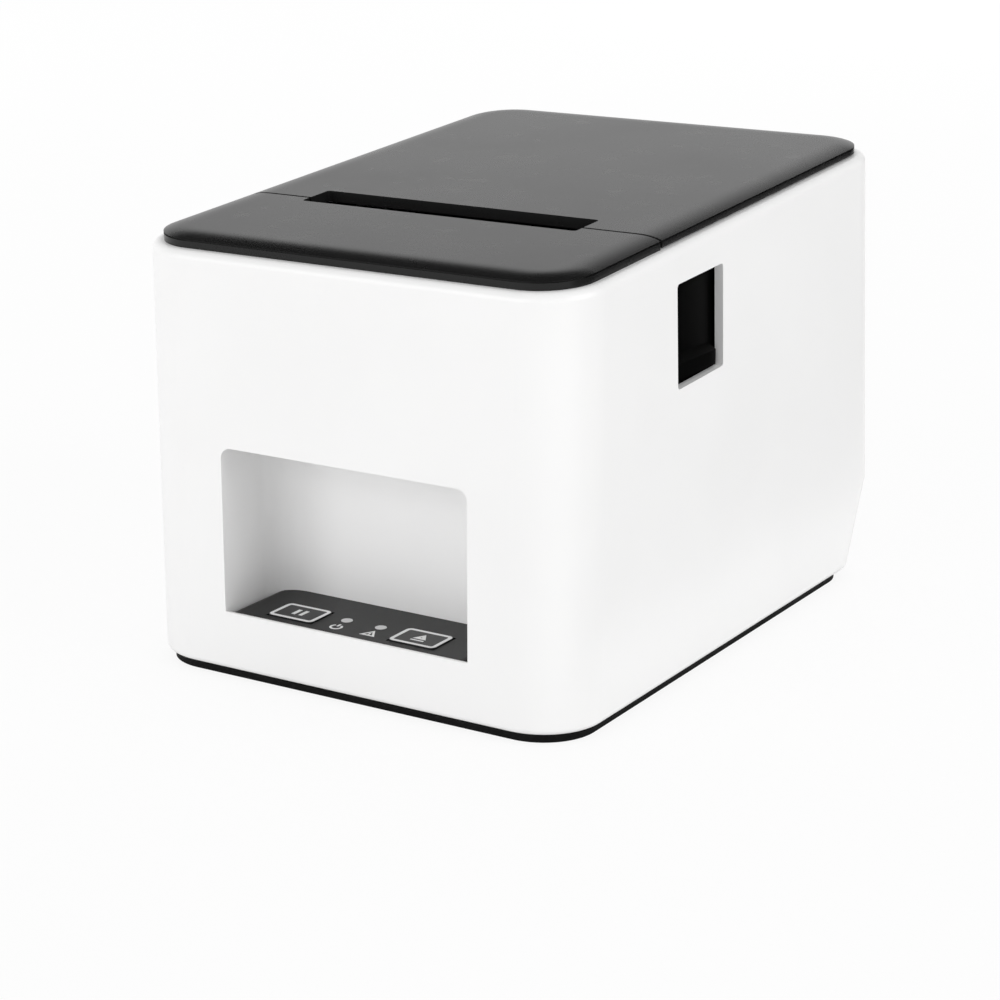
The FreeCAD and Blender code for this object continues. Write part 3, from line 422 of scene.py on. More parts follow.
class MeshWorks:
    """Turns numpy arrays into finished Blender objects."""

    SHORTEST = 1e-9
    SHARPEST = 0.4

    @staticmethod
    def solid(name: str, points: Array, faces: Array, smooth: bool = False) -> bpy.types.Object:
        """Put points and quads into a new object at the origin.

        Args:
            name: the object's name.
            points: (n, 3) array in metres.
            faces: (m, 4) array of point numbers, wound outwards.
            smooth: shade it smooth.

        Returns:
            The linked object.
        """
        starts = np.arange(0, faces.size, faces.shape[1], dtype=np.int32)
        mesh = bpy.data.meshes.new(name)
        mesh.vertices.add(len(points))
        mesh.vertices.foreach_set("co", np.asarray(points, dtype=np.float32).ravel())
        mesh.loops.add(faces.size)
        mesh.loops.foreach_set("vertex_index", faces.astype(np.int32).ravel())
        mesh.polygons.add(len(faces))
        mesh.polygons.foreach_set("loop_start", starts)
        mesh.polygons.foreach_set("use_smooth", np.full(len(faces), smooth))
        mesh.update(calc_edges=True)
        mesh.validate()
        made = bpy.data.objects.new(name, mesh)
        bpy.context.scene.collection.objects.link(made)
        return made

    @staticmethod
    def band(path: Array, width: float, low: float, high: float, closed: bool) -> Shape:
        """A flat strip of even width along a path in a plane, with thickness.

        The formula: each path point moves half the width to both sides along the mean of its
        neighbours' normals, lengthened at a corner so that the strip keeps its width, and is
        placed at a low and a high level.

        Args:
            path: (n, 2) points in metres.
            width: the strip's width.
            low: height of its underside.
            high: height of its top.
            closed: whether the path's end joins its start.

        Returns:
            Points, four to each path point, and quads.
        """
        ahead = np.roll(path, -1, axis=0) - path
        behind = path - np.roll(path, 1, axis=0)
        if not closed:
            ahead[-1] = behind[-1]
            behind[0] = ahead[0]
        ahead /= np.linalg.norm(ahead, axis=1, keepdims=True)
        behind /= np.linalg.norm(behind, axis=1, keepdims=True)
        normal = np.stack([-(ahead + behind)[:, 1], (ahead + behind)[:, 0]], axis=1)
        length = np.linalg.norm(normal, axis=1, keepdims=True)
        normal /= np.maximum(length, MeshWorks.SHORTEST)
        straight = np.stack([-ahead[:, 1], ahead[:, 0]], axis=1)
        lean = (normal * straight).sum(axis=1, keepdims=True)
        reach = 0.5 * width / np.clip(lean, MeshWorks.SHARPEST, 1.0)
        left = path + normal * reach
        right = path - normal * reach
        corners = ((left, high), (right, high), (right, low), (left, low))
        ring = np.stack([np.column_stack([edge, np.full(len(path), level)])
                         for edge, level in corners], axis=1)
        return ring.reshape(-1, 3), MeshWorks.ring_faces(len(path), len(corners), closed)

    @staticmethod
    def ring_faces(count: int, around: int, closed: bool) -> Array:
        """Quads that join rings of points into a tube.

        Args:
            count: how many rings.
            around: points in each ring.
            closed: whether the last ring joins the first.

        Returns:
            The quads, with both ends capped for an open four-sided tube.
        """
        steps = np.arange(count if closed else count - 1)
        side = np.arange(around)[None, :]
        start = steps[:, None] * around
        jump = ((steps + 1) % count)[:, None] * around
        turned = (side + 1) % around
        quads = np.stack([start + side, jump + side, jump + turned, start + turned], axis=2)
        quads = quads.reshape(-1, 4)
        if closed or around != 4:
            return quads
        last = (count - 1) * around
        caps = np.array([[0, 1, 2, 3], [last + 3, last + 2, last + 1, last]])
        return np.concatenate([quads, caps])

    @staticmethod
    def tube(path: Array, radius: float, around: int = 8) -> Shape:
        """A round wire along an open path.

        The formula: at each point two directions square to the path span a circle of the wire's
        radius; the first is the path's direction crossed with a fixed axis and the second is
        their cross product.

        Args:
            path: (n, 3) points in metres.
            radius: the wire's radius.
            around: sides of the wire.

        Returns:
            Points and quads.
        """
        along = np.gradient(path, axis=0)
        along /= np.linalg.norm(along, axis=1, keepdims=True)
        axis = np.eye(3)[np.argmin(np.abs(along).mean(axis=0))]
        side = np.cross(along, axis)
        side /= np.linalg.norm(side, axis=1, keepdims=True)
        other = np.cross(along, side)
        turn = np.linspace(0, 2 * math.pi, around, endpoint=False)[None, :, None]
        ring = side[:, None, :] * np.cos(turn) + other[:, None, :] * np.sin(turn)
        points = (path[:, None, :] + radius * ring).reshape(-1, 3)
        return points, MeshWorks.ring_faces(len(path), around, False)[:, ::-1]

    @staticmethod
    def join(parts: Sequence[Shape]) -> Shape:
        """Several point and quad sets as one."""
        starts = np.cumsum([0] + [len(points) for points, _ in parts[:-1]])
        return (np.concatenate([points for points, _ in parts]),
                np.concatenate([faces + start for (_, faces), start in zip(parts, starts)]))


class Outline:
    """Flat paths for the printed signs, in millimetres about a centre."""

    QUARTER_POINTS = 7
    ARC_POINTS = 40

    @staticmethod
    def round_box(wide: float, deep: float, radius: float) -> Array:
        """A rounded rectangle: four quarter circles of the radius, joined by straight runs."""
        turn = np.linspace(0, math.pi / 2, Outline.QUARTER_POINTS)
        corners = np.array([[1, 1], [-1, 1], [-1, -1], [1, -1]])
        centres = corners * [wide / 2 - radius, deep / 2 - radius]
        quarter = np.arange(4)[:, None] * math.pi / 2 + turn[None, :]
        arc = np.stack([np.cos(quarter), np.sin(quarter)], axis=2) * radius
        return (centres[:, None, :] + arc).reshape(-1, 2)

    @staticmethod
    def arc(radius: float, start: float, end: float) -> Array:
        """Part of a circle between two angles in degrees."""
        turn = np.radians(np.linspace(start, end, Outline.ARC_POINTS))
        return radius * np.stack([np.cos(turn), np.sin(turn)], axis=1)

    @staticmethod
    def triangle(size: float, heading: float) -> Array:
        """An equal-sided triangle that points along a heading in degrees."""
        turn = np.radians(heading + np.array([0, 120, 240]))
        return size * np.stack([np.cos(turn), np.sin(turn)], axis=1)

    @staticmethod
    def stroke(start: Span, end: Span) -> Array:
        """A straight run between two points."""
        return np.linspace(np.array(start), np.array(end), 2)


@dataclass
class Plane:
    """A flat place on the printer: an origin and two directions along it, in metres."""

    origin: Array
    across: Array
    upward: Array

    @classmethod
    def level(cls, x: float, y: float, z: float) -> "Plane":
        """A level place that faces up."""
        return cls(np.array([x, y, z]), np.array([1.0, 0, 0]), np.array([0, 1.0, 0]))

    @classmethod
    def beneath(cls, x: float, y: float, z: float) -> "Plane":
        """A level place that faces down."""
        return cls(np.array([x, y, z]), np.array([1.0, 0, 0]), np.array([0, -1.0, 0]))

    def lay(self, points: Array) -> Array:
        """Carry (n, 3) points, given along the plane and off it, to the printer's frame.

        The formula: origin + x * across + y * upward + z * (across x upward).
        """
        off = np.cross(self.across, self.upward)
        return self.origin + points @ np.stack([self.across, self.upward, off])

    def strip(self, strip: Strip, low: float, high: float) -> Shape:
        """A strip on the plane.

        Args:
            strip: its path and width in millimetres, and whether the path is closed.
            low: its underside off the plane, in metres.
            high: its top off the plane, in metres.

        Returns:
            Points and quads in the printer's frame.
        """
        path, width, closed = strip
        points, faces = MeshWorks.band(path * MM, width * MM, low, high, closed)
        return self.lay(points), faces


@dataclass
class Sign:
    """One flat mark: strips of ink or metal on a plane."""

    name: str
    body: Body
    plane: Plane
    strips: list[Strip]
    slot: str = "lens"
    thickness: float = 0.04 * MM
    sink: float = 0.005 * MM

    def build(self, material: bpy.types.Material) -> None:
        """Lay the strips on the plane.

        Args:
            material: what the strips are made of.
        """
        parts = [self.plane.strip(strip, -self.sink, self.thickness) for strip in self.strips]
        made = MeshWorks.solid(self.name, *MeshWorks.join(parts))
        made.data.materials.append(material)
        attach(made, self.body.value)
        log.info("mark %s", self.name)


@dataclass
class KeyPanel:
    """The signs on the control panel and its two keys; millimetres unless said."""

    line: float = 1.0
    border: float = 1.05
    corner: float = 1.0
    flange: float = 1.2
    bar_half: float = 1.8
    bar_wide: float = 1.1
    bar_shift: float = 1.1
    arrow: float = 1.3
    arrow_lift: float = 0.2
    arrow_wide: float = 0.9
    base_half: float = 1.9
    base_drop: float = 1.9
    thin: float = 0.6
    ring: float = 1.45
    ring_span: Span = (125, 415)
    ring_stroke: Span = (0.5, 2.1)
    warning: float = 2.0
    warning_stroke: Span = (-0.5, 0.6)
    warning_wide: float = 0.5
    upwards: float = 90.0
    sign_depth: float = 5.4 * MM
    ring_shift: float = 0.4 * MM
    warning_shift: float = 0.2 * MM

    def middle(self, node: str) -> Span:
        """Centre of a node seen from above."""
        low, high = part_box(node)
        return ((low[0] + high[0]) / 2, (low[1] + high[1]) / 2)

    def bars(self) -> list[Strip]:
        """Two upright bars."""
        return [(Outline.stroke((x, -self.bar_half), (x, self.bar_half)), self.bar_wide, False)
                for x in (-self.bar_shift, self.bar_shift)]

    def arrow_and_line(self) -> list[Strip]:
        """An arrow that leaves a line."""
        head = Outline.triangle(self.arrow, self.upwards) + [0, self.arrow_lift]
        base = Outline.stroke((-self.base_half, -self.base_drop),
                              (self.base_half, -self.base_drop))
        return [(head, self.arrow_wide, True), (base, self.thin, False)]

    def key_signs(self) -> list[Sign]:
        """A border and a pictogram on each key."""
        signs = []
        for node, body, pictogram in (("pause_button", Body.PAUSE, self.bars()),
                                      ("feed_button", Body.FEED, self.arrow_and_line())):
            low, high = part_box(node)
            wide, deep = ((high[i] - low[i]) / MM - 2 * self.flange - self.border for i in (0, 1))
            edge = (Outline.round_box(wide, deep, self.corner), self.line, True)
            plane = Plane.level(*self.middle(node), high[2])
            signs.append(Sign(node.replace("button", "sign"), body, plane, [edge, *pictogram]))
        return signs

    def lamp_signs(self) -> list[Sign]:
        """A ring with a stroke beside one lamp and a triangle with a stroke beside the other."""
        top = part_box("control_panel")[1][2]
        ring_low, ring_high = self.ring_stroke
        warning_low, warning_high = self.warning_stroke
        ring = [(Outline.arc(self.ring, *self.ring_span), self.thin, False),
                (Outline.stroke((0, ring_low), (0, ring_high)), self.thin, False)]
        warn = [(Outline.triangle(self.warning, self.upwards), self.thin, True),
                (Outline.stroke((0, warning_low), (0, warning_high)), self.warning_wide, False)]
        signs = []
        for node, shift, strips in (("power_lamp_lens", self.ring_shift, ring),
                                    ("error_lamp_lens", self.warning_shift, warn)):
            x, y = self.middle(node)
            plane = Plane.level(x + shift, y - self.sign_depth, top)
            signs.append(Sign(node.replace("lens", "sign"), Body.CASE, plane, strips))
        return signs

    def build(self, ink: bpy.types.Material) -> None:
        """Lay all the signs."""
        for sign in self.key_signs() + self.lamp_signs():
            sign.build(ink)


@dataclass
class RearMarks:
    """Marks on the power rocker and metal contacts in the rear sockets."""

    rocker_turn: float = -8.0
    rocker_sunk: float = 1.5 * MM
    face_low: Span = (1.2, 0.0)
    face_high: Span = (1.8, 5.7)
    bar_half: float = 1.1
    bar_wide: float = 0.5
    ring: float = 1.15
    ring_wide: float = 0.45
    wall: float = 1.5 * MM
    depth: float = 9.0 * MM
    contact_share: float = 0.45

    def rocker_plane(self, side: float) -> Plane:
        """The middle of one half of the rocker's dished face, turned to its rest position.

        The formula: a point (out, up) in the rocker's section turns about its axis by the rest
        angle.
        """
        low, high = (np.array(c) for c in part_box("switch_housing"))
        axis = (low + high) / 2
        axis[1] = high[1] - self.rocker_sunk
        angle = math.radians(self.rocker_turn)
        turn = np.array([[math.cos(angle), -math.sin(angle)], [math.sin(angle), math.cos(angle)]])
        near, far = (turn @ (np.array([out, side * up]) * MM)
                     for out, up in (self.face_low, self.face_high))
        along = side * (far - near) / np.linalg.norm(far - near)
        middle = (near + far) / 2
        return Plane(axis + np.array([0, *middle]), np.array([-1.0, 0, 0]), np.array([0, *along]))

    def contacts(self, node: str, count: int, pitch: float, level: float, reach: float) -> Sign:
        """A row of flat contacts that run into a socket.

        Args:
            node: the socket's node.
            count: how many contacts.
            pitch: their spacing in millimetres.
            level: their height above the socket's underside in metres.
            reach: how far they start inside the mouth in metres.

        Returns:
            The row as one mark.
        """
        low, high = (np.array(c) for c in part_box(node))
        plane = Plane.level((low[0] + high[0]) / 2, high[1] - reach, low[2] + level)
        xs = (np.arange(count) - (count - 1) / 2) * pitch
        long = (self.depth - reach) / MM
        strips = [(Outline.stroke((x, -long), (x, 0)), self.contact_share * pitch, False)
                  for x in xs]
        return Sign(node + "_contacts", Body.CASE, plane, strips, slot="socket_metal")

    def build(self, ink: bpy.types.Material, metal: bpy.types.Material) -> None:
        """Lay the rocker's bar and ring and the contacts of two sockets."""
        bar = [(Outline.stroke((0, -self.bar_half), (0, self.bar_half)), self.bar_wide, False)]
        ring = [(Outline.arc(self.ring, 0, 360)[:-1], self.ring_wide, True)]
        Sign("rocker_on_sign", Body.ROCKER, self.rocker_plane(1.0), bar).build(ink)
        Sign("rocker_off_sign", Body.ROCKER, self.rocker_plane(-1.0), ring).build(ink)
        self.contacts("drawer_socket", count=6, pitch=1.5, level=self.wall,
                      reach=1.5 * MM).build(metal)
        self.contacts("usb_socket", count=2, pitch=2.2, level=6.8 * MM,
                      reach=2.4 * MM).build(metal)


@dataclass
class ScrewHeads:
    """Painted shade of the cross recesses in the four screws under the base: flat dark crosses
    laid on the heads.
    """

    head: float = 2.8 * MM
    cross: float = 3.0
    blade: float = 0.7

    def build(self, shade: bpy.types.Material) -> None:
        """Lay a flat dark cross on each screw's head as painted shade of its recess."""
        low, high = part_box("base_screws")
        half = self.cross / 2
        # The two strips are painted shade where the cross recess would be.
        strips = [(Outline.stroke((-half, 0), (half, 0)), self.blade, False),
                  (Outline.stroke((0, -half), (0, half)), self.blade, False)]
        for i, x in enumerate((low[0] + self.head, high[0] - self.head)):
            for j, y in enumerate((low[1] + self.head, high[1] - self.head)):
                Sign(f"screw_cross_{i}{j}", Body.CASE, Plane.beneath(x, y, low[2]), strips,
                     slot="dark_component").build(shade)


@dataclass
class LidRibs:
    """Stiffening ribs under the hinged lid, on the sloping plane of the casing's rim."""

    front: float = -92.2 * MM
    rim: float = 111.4 * MM
    slope: float = 3.97
    ceiling: float = 1.72 * MM
    foot: float = 0.5 * MM
    thickness: float = 1.2
    begin: float = 80.0
    end: float = 162.0
    cross: float = 121.0
    places: tuple[float, ...] = (-44.0, -22.0, 0.0, 22.0, 44.0)

    def build(self, plastic: bpy.types.Material) -> None:
        """Hang the ribs from the lid's hollow."""
        a = math.radians(self.slope)
        plane = Plane(np.array([0, self.front, self.rim]), np.array([1.0, 0, 0]),
                      np.array([0, math.cos(a), math.sin(a)]))
        runs = [Outline.stroke((x, self.begin), (x, self.end)) for x in self.places]
        runs.append(Outline.stroke((self.places[0], self.cross), (self.places[-1], self.cross)))
        parts = [plane.strip((run, self.thickness, False), self.foot, self.ceiling)
                 for run in runs]
        made = MeshWorks.solid("lid_ribs", *MeshWorks.join(parts))
        made.data.materials.append(plastic)
        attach(made, Body.LID.value)
        log.info("lid ribs")


@dataclass
class HeatLine:
    """The dark heating line and its glazed bead along the print head's face."""

    lean: float = 22.0
    gap: float = 0.3 * MM
    inset: float = 1.5
    bead: float = 1.4
    core: float = 0.35
    core_height: float = 0.06 * MM

    def build(self, glaze: bpy.types.Material, dark: bpy.types.Material) -> None:
        """Lay the bead, then the line on it, where the head is nearest to the roller.

        The formula: the line lies a roller's radius and a gap from its axis, along the head's
        leaning normal.
        """
        low, high = (np.array(c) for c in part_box("platen_roller"))
        a = math.radians(self.lean)
        out = np.array([0, math.cos(a), math.sin(a)])
        reach = (high[2] - low[2]) / 2 + self.gap
        origin = (low + high) / 2 - out * reach
        plane = Plane(origin, np.array([-1.0, 0, 0]), np.array([0, -math.sin(a), math.cos(a)]))
        half = (high[0] - low[0]) / 2 / MM - self.inset
        run = Outline.stroke((-half, 0), (half, 0))
        Sign("head_glaze_bead", Body.HEAD, plane, [(run, self.bead, False)],
             slot="ceramic").build(glaze)
        Sign("head_heat_line", Body.HEAD, plane, [(run, self.core, False)], slot="ceramic",
             thickness=self.core_height).build(dark)


@dataclass
class BucketRibs:
    """Low ridges round the bucket's inside that the paper roll slides on."""

    radius: float = 41.0 * MM
    wall: float = 2.0 * MM
    ridge: float = 0.45 * MM
    count: int = 5
    bend_points: int = 49

    def build(self, plastic: bpy.types.Material) -> None:
        """Bend each ridge round the lower half of the bucket.

        The formula: points on a half circle of the roll's radius about the bucket's axis.
        """
        low, high = (np.array(c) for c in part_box("paper_bucket"))
        axis_y = low[1] + self.wall + self.radius
        axis_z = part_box("near_end_sensor")[0][2] + self.radius / 2
        turn = np.linspace(math.pi, 2 * math.pi, self.bend_points)
        parts = []
        for x in np.linspace(low[0], high[0], self.count + 2)[1:-1]:
            path = np.stack([np.full_like(turn, x), axis_y + self.radius * np.cos(turn),
                             axis_z + self.radius * np.sin(turn)], axis=1)
            parts.append(MeshWorks.tube(path, self.ridge))
        made = MeshWorks.solid("bucket_ridges", *MeshWorks.join(parts), smooth=True)
        made.data.materials.append(plastic)
        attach(made, Body.CASE.value)
        log.info("bucket ridges")


@dataclass
class Springs:
    """Wound springs in place of the plain sleeves."""

    wire: float = 0.3 * MM
    turns: int = 8
    turn_points: int = 24

    def coil(self, low: Array, high: Array, axis: int) -> Shape:
        """A coil in a box: a helix whose wire stays inside the box on all sides."""
        inner_low = low + self.wire
        inner_high = high - self.wire
        share = np.linspace(0, 1, self.turn_points * self.turns + 1)
        turn = 2 * math.pi * self.turns * share
        others = [i for i in range(3) if i != axis]
        path = np.zeros((len(share), 3))
        path[:, axis] = inner_low[axis] + share * (inner_high[axis] - inner_low[axis])
        for index, wave in zip(others, (np.cos(turn), np.sin(turn))):
            middle = (inner_low[index] + inner_high[index]) / 2
            path[:, index] = middle + wave * (inner_high[index] - inner_low[index]) / 2
        return MeshWorks.tube(path, self.wire)

    def build(self, wire: bpy.types.Material) -> None:
        """Wind the two head springs and the lever's spring."""
        low, high = (np.array(corner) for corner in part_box("head_springs"))
        across = high[2] - low[2]
        coils = [self.coil(np.array([x, low[1], low[2]]), np.array([x + across, high[1], high[2]]),
                           axis=1)
                 for x in (low[0], high[0] - across)]
        self.finish("head_spring_coils", MeshWorks.join(coils), "head_springs", wire)
        low, high = (np.array(corner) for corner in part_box("lever_spring"))
        self.finish("lever_spring_coil", self.coil(low, high, axis=0), "lever_spring", wire)

    def finish(self, name: str, shape: Shape, node: str, wire: bpy.types.Material) -> None:
        """Make the object, dress it and let it stand for its sleeve."""
        made = MeshWorks.solid(name, *shape, smooth=True)
        made.data.materials.append(wire)
        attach(made, Body.CASE.value)
        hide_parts(node)
        log.info("spring %s", name)


@dataclass
class Finishes:
    """Which finish each CAD node wears."""

    white: MouldedPlastic = MouldedPlastic("white_shell", grey(0.955, 0.002), 0.34, strength=0.1,
                                           cloud=0.015)
    lid: MouldedPlastic = MouldedPlastic("black_lid", grey(0.11), 0.28, strength=0.18, cloud=0.06,
                                         gloss=0.25)
    base: MouldedPlastic = MouldedPlastic("black_base", grey(0.03), 0.55, gloss=0.12)
    # The lever's colour is darker than the lid's black plastic: black plastic with painted shade
    # of the deep opening it sits behind.
    lever: MouldedPlastic = MouldedPlastic("lever_black_and_shade", grey(0.03), 0.4, gloss=0.04)
    bucket: MouldedPlastic = MouldedPlastic("bucket_black", grey(0.22), 0.5)
    panel: MouldedPlastic = MouldedPlastic("panel_overlay", grey(0.1), 0.4, grain=0.8 * MM,
                                           strength=0.08, gloss=0.2)
    key: MouldedPlastic = MouldedPlastic("key_caps", grey(0.14), 0.4, grain=0.6 * MM, strength=0.1,
                                         gloss=0.35)
    gear: MouldedPlastic = MouldedPlastic("gear_white", grey(0.88, 0.015), 0.42)
    dark: MouldedPlastic = MouldedPlastic("dark_component", grey(0.14), 0.4)
    steel: BrushedMetal = BrushedMetal("rolled_steel", (0.62, 0.63, 0.65), 0.32, Lay.ALONG_Z)
    turned: BrushedMetal = BrushedMetal("turned_steel", (0.66, 0.67, 0.68), 0.24, Lay.ALONG_Y)
    motor: BrushedMetal = BrushedMetal("plated_can", (0.5, 0.5, 0.48), 0.36)
    alloy: BrushedMetal = BrushedMetal("extruded_alloy", (0.78, 0.79, 0.8), 0.36)
    wire: BrushedMetal = BrushedMetal("spring_wire", (0.55, 0.56, 0.58), 0.28)
    rubber: RubberSkin = RubberSkin("ground_rubber", grey(0.13))
    lens: FrostedLens = FrostedLens("lamp_lens", grey(0.86))
    board: SolderMask = SolderMask("solder_mask", (0.012, 0.11, 0.035))
    ceramic: GlazedCeramic = GlazedCeramic("glazed_strip", (0.72, 0.68, 0.58))
    ink: PrintedInk = PrintedInk("panel_ink", grey(0.93))
    worn_by: dict[str, tuple[str, ...]] = field(default_factory=lambda: {
        "white": ("main_casing", "alcove_liner"),
        "lid": ("front_top_cover", "rear_lid"),
        "base": ("base_tray",),
        "lever": ("release_lever",),
        "bucket": ("paper_bucket", "rear_panel"),
        "panel": ("control_panel",),
        "key": ("pause_button", "feed_button"),
        "gear": ("platen_gear", "idler_gear", "motor_pinion", "platen_bushes"),
        "dark": ("tact_switches", "near_end_sensor", "paper_sensor", "cover_switch", "dc_inlet",
                 "drawer_socket", "switch_housing", "power_rocker"),
        "steel": ("platen_bracket", "left_side_plate", "right_side_plate", "cross_plate",
                  "tear_bar", "usb_socket"),
        "turned": ("base_screws", "hinge_pins", "platen_shaft", "shaft_clip", "idler_post",
                   "motor_shaft", "motor_screws", "head_pivot_shaft", "lever_post"),
        "motor": ("stepper_motor",),
        "alloy": ("head_heatsink",),
        "wire": ("head_springs", "lever_spring"),
        "rubber": ("rubber_feet", "platen_roller"),
        "lens": ("power_lamp_lens", "error_lamp_lens"),
        "board": ("key_board", "main_board"),
        "ceramic": ("print_head",),
    })

    def dress(self, nodes: dict[str, Any]) -> dict[str, bpy.types.Material]:
        """Give every node its finish.

        Args:
            nodes: node name to its object.

        Returns:
            Finish name to its material, with the ink.
        """
        made = {"ink": self.ink.material()}
        for finish, names in self.worn_by.items():
            made[finish] = getattr(self, finish).material()
            for name in names:
                data = nodes[name].data
                data.materials.clear()
                data.materials.append(made[finish])
                log.info("%s wears %s", name, finish)
        return made


@dataclass(frozen=True)
class Lamp:
    """A square soft lamp: its middle and side in metres, its power in watts."""

    name: str
    place: Triple
    size: float
    power: float
    mirrored: bool = True

    def build(self, aim: Triple) -> None:
        """Hang the lamp so that it faces a point; it shows in reflections only if mirrored."""
        data = bpy.data.lights.new(self.name, "AREA")
        data.size = self.size
        data.energy = self.power
        made = bpy.data.objects.new(self.name, data)
        away = np.array(self.place) - np.array(aim)
        away /= np.linalg.norm(away)
        side = np.cross([0, 0, 1], away)
        side /= np.linalg.norm(side)
        made.matrix_world = turned_to(side, away, self.place)
        made.visible_glossy = self.mirrored
        bpy.context.scene.collection.objects.link(made)


@dataclass(frozen=True)
class Flag:
    """A black card that only reflections see: its middle and two half sides, in metres."""

    name: str
    centre: Triple
    across: Triple
    upward: Triple
    weave: float = 0.02
    cloth: tuple[Triple, Triple] = (grey(0.02), grey(0.04))

    def build(self) -> None:
        """Hang the card and hide it from all other rays."""
        middle, side, up = (np.array(v) for v in (self.centre, self.across, self.upward))
        points = np.stack([middle - side - up, middle + side - up,
                           middle + side + up, middle - side + up])
        made = MeshWorks.solid(self.name, points, np.array([[0, 1, 2, 3]]))
        for ray in ("camera", "diffuse", "transmission", "volume_scatter", "shadow"):
            setattr(made, f"visible_{ray}", False)
        g = Graph(self.name + "_cloth")
        weave = g.noise(g.place(), self.weave, detail=2.0)
        made.data.materials.append(g.skin(Base_Color=g.blend(weave, *self.cloth), Roughness=1.0,
                                          Specular_IOR_Level=0.0))


def turned_to(right: Array, back: Array, place: Sequence[float]) -> Matrix:
    """The matrix of a lamp or camera from its right and back directions and its place."""
    turned = np.eye(4)
    turned[:3, :3] = np.stack([right, np.cross(back, right), back], axis=1)
    turned[:3, 3] = place
    return Matrix(turned.tolist())


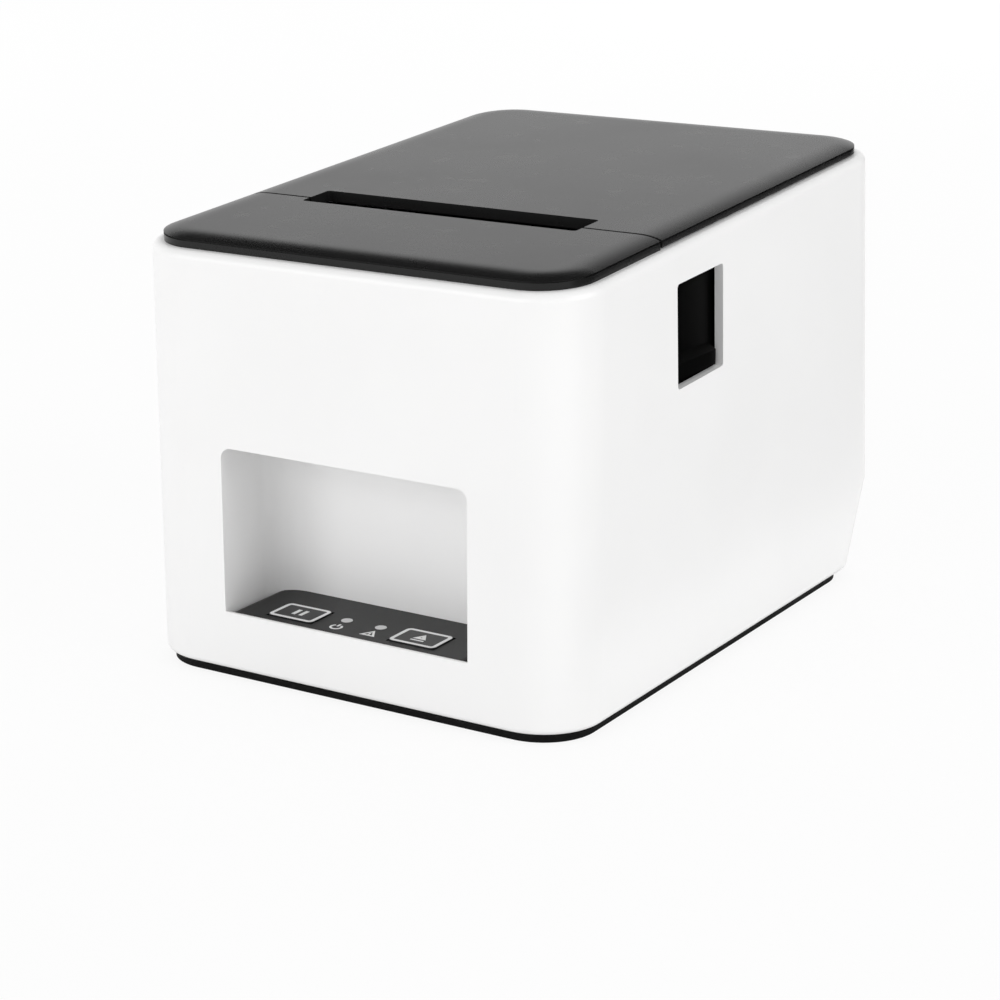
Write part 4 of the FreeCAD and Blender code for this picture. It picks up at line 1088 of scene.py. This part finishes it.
@dataclass
class Studio:
    """White studio: floor, world, soft lamps and the camera at the photograph's place."""

    focal_pixels: float = 2587.5
    frame_pixels: float = 1000.0
    sensor: float = 36.0
    far_clip: float = 50.0
    azimuth: float = 31.63
    elevation: float = 16.565
    eye: Triple = (0.35355, -0.59141, 0.23567)
    ambient: float = 0.64
    floor_size: float = 6.0
    floor_cells: int = 4
    floor_cloud: float = 0.4
    floor_tints: tuple[Triple, Triple] = (grey(0.93), grey(0.95))
    floor_glow: float = 0.88
    aim: Triple = (0, 0, 0.06)
    lamps: tuple[Lamp, ...] = (
        Lamp("front_soft", place=(-0.6, -1.8, 0.5), size=1.4, power=14.0),
        Lamp("right_soft", place=(1.7, 0.1, 0.8), size=1.2, power=13.2),
        Lamp("left_fill", place=(-1.7, 0.6, 0.8), size=1.4, power=7.0, mirrored=False),
        Lamp("rear_fill", place=(-0.3, 1.8, 0.8), size=1.4, power=8.0, mirrored=False),
    )
    flags: tuple[Flag, ...] = (
        Flag("overhead_flag", centre=(0, 0, 1.35), across=(1.9, 0, 0), upward=(0, 1.9, 0)),
        Flag("right_flag", centre=(1.9, 0.8, 0.68), across=(0, 1.1, 0), upward=(0, 0, 0.68)),
        Flag("rear_flag", centre=(0.85, 1.9, 0.68), across=(1.05, 0, 0), upward=(0, 0, 0.68)),
        Flag("low_flag", centre=(1.0, 0.9, 0.001), across=(0.9, 0, 0), upward=(0, 1.0, 0)),
    )

    def floor(self) -> None:
        """A broad level floor that looks white to the camera and keeps a soft shadow."""
        row = self.floor_cells + 1
        grid = np.linspace(-self.floor_size, self.floor_size, row)
        x, y = np.meshgrid(grid, grid, indexing="ij")
        points = np.stack([x, y, np.zeros_like(x)], axis=2).reshape(-1, 3)
        index = np.arange(self.floor_cells ** 2)
        corner = (index // self.floor_cells) * row + index % self.floor_cells
        faces = np.stack([corner, corner + row, corner + row + 1, corner + 1], axis=1)
        made = MeshWorks.solid("studio_floor", points, faces)
        g = Graph("floor_white")
        cloud = g.noise(g.place(), self.floor_cloud, detail=2.0)
        tint = g.blend(cloud, *self.floor_tints)
        paint = g.node("ShaderNodeBsdfDiffuse", sockets={"Color": tint})
        glow = g.node("ShaderNodeEmission", sockets={"Color": WHITE, "Strength": 1.0})
        seen = g.node("ShaderNodeLightPath", out="Is Camera Ray")
        mixed = g.node("ShaderNodeMixShader",
                       sockets={0: self.floor_glow * seen, 1: paint, 2: glow})
        made.data.materials.append(g.surface(mixed))

    def world(self) -> None:
        """White to the camera and in reflections, dimmer as a source of light."""
        world = bpy.data.worlds.new("white_room")
        bpy.context.scene.world = world
        world.use_nodes = True
        tree = world.node_tree
        tree.nodes.clear()
        out = tree.nodes.new("ShaderNodeOutputWorld")
        back = tree.nodes.new("ShaderNodeBackground")
        path = tree.nodes.new("ShaderNodeLightPath")
        either = path.outputs["Is Camera Ray"]
        for name in ("Is Glossy Ray", "Is Transmission Ray"):
            both = tree.nodes.new("ShaderNodeMath")
            both.operation = "MAXIMUM"
            tree.links.new(either, both.inputs[0])
            tree.links.new(path.outputs[name], both.inputs[1])
            either = both.outputs[0]
        level = tree.nodes.new("ShaderNodeMapRange")
        level.inputs["To Min"].default_value = self.ambient
        tree.links.new(either, level.inputs["Value"])
        tree.links.new(level.outputs[0], back.inputs["Strength"])
        back.inputs["Color"].default_value = WHITE
        tree.links.new(back.outputs[0], out.inputs["Surface"])

    def camera(self) -> None:
        """The photograph's camera: right and back directions from its azimuth and elevation."""
        a, e = math.radians(self.azimuth), math.radians(self.elevation)
        back = np.array([math.sin(a) * math.cos(e), -math.cos(a) * math.cos(e), math.sin(e)])
        right = np.array([math.cos(a), math.sin(a), 0.0])
        data = bpy.data.cameras.new("photo_camera")
        data.sensor_width = self.sensor
        data.lens = self.focal_pixels / self.frame_pixels * self.sensor
        data.clip_end = self.far_clip
        made = bpy.data.objects.new("photo_camera", data)
        made.matrix_world = turned_to(right, back, self.eye)
        bpy.context.scene.collection.objects.link(made)
        bpy.context.scene.camera = made

    def build(self) -> None:
        """Set up the whole studio."""
        bpy.context.scene.view_settings.view_transform = "Standard"
        self.floor()
        self.world()
        for lamp in self.lamps:
            lamp.build(self.aim)
        for flag in self.flags:
            flag.build()
        self.camera()
        log.info("studio ready")


def main() -> None:
    """Dress the CAD nodes, add the new pieces and set up the studio."""
    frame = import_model()
    materials = Finishes().dress(frame["nodes"])
    KeyPanel().build(materials["ink"])
    RearMarks().build(materials["ink"], materials["turned"])
    ScrewHeads().build(materials["dark"])
    LidRibs().build(materials["lid"])
    HeatLine().build(materials["ceramic"], materials["dark"])
    BucketRibs().build(materials["bucket"])
    Springs().build(materials["wire"])
    Studio().build()


if __name__ == "__main__":
    main()
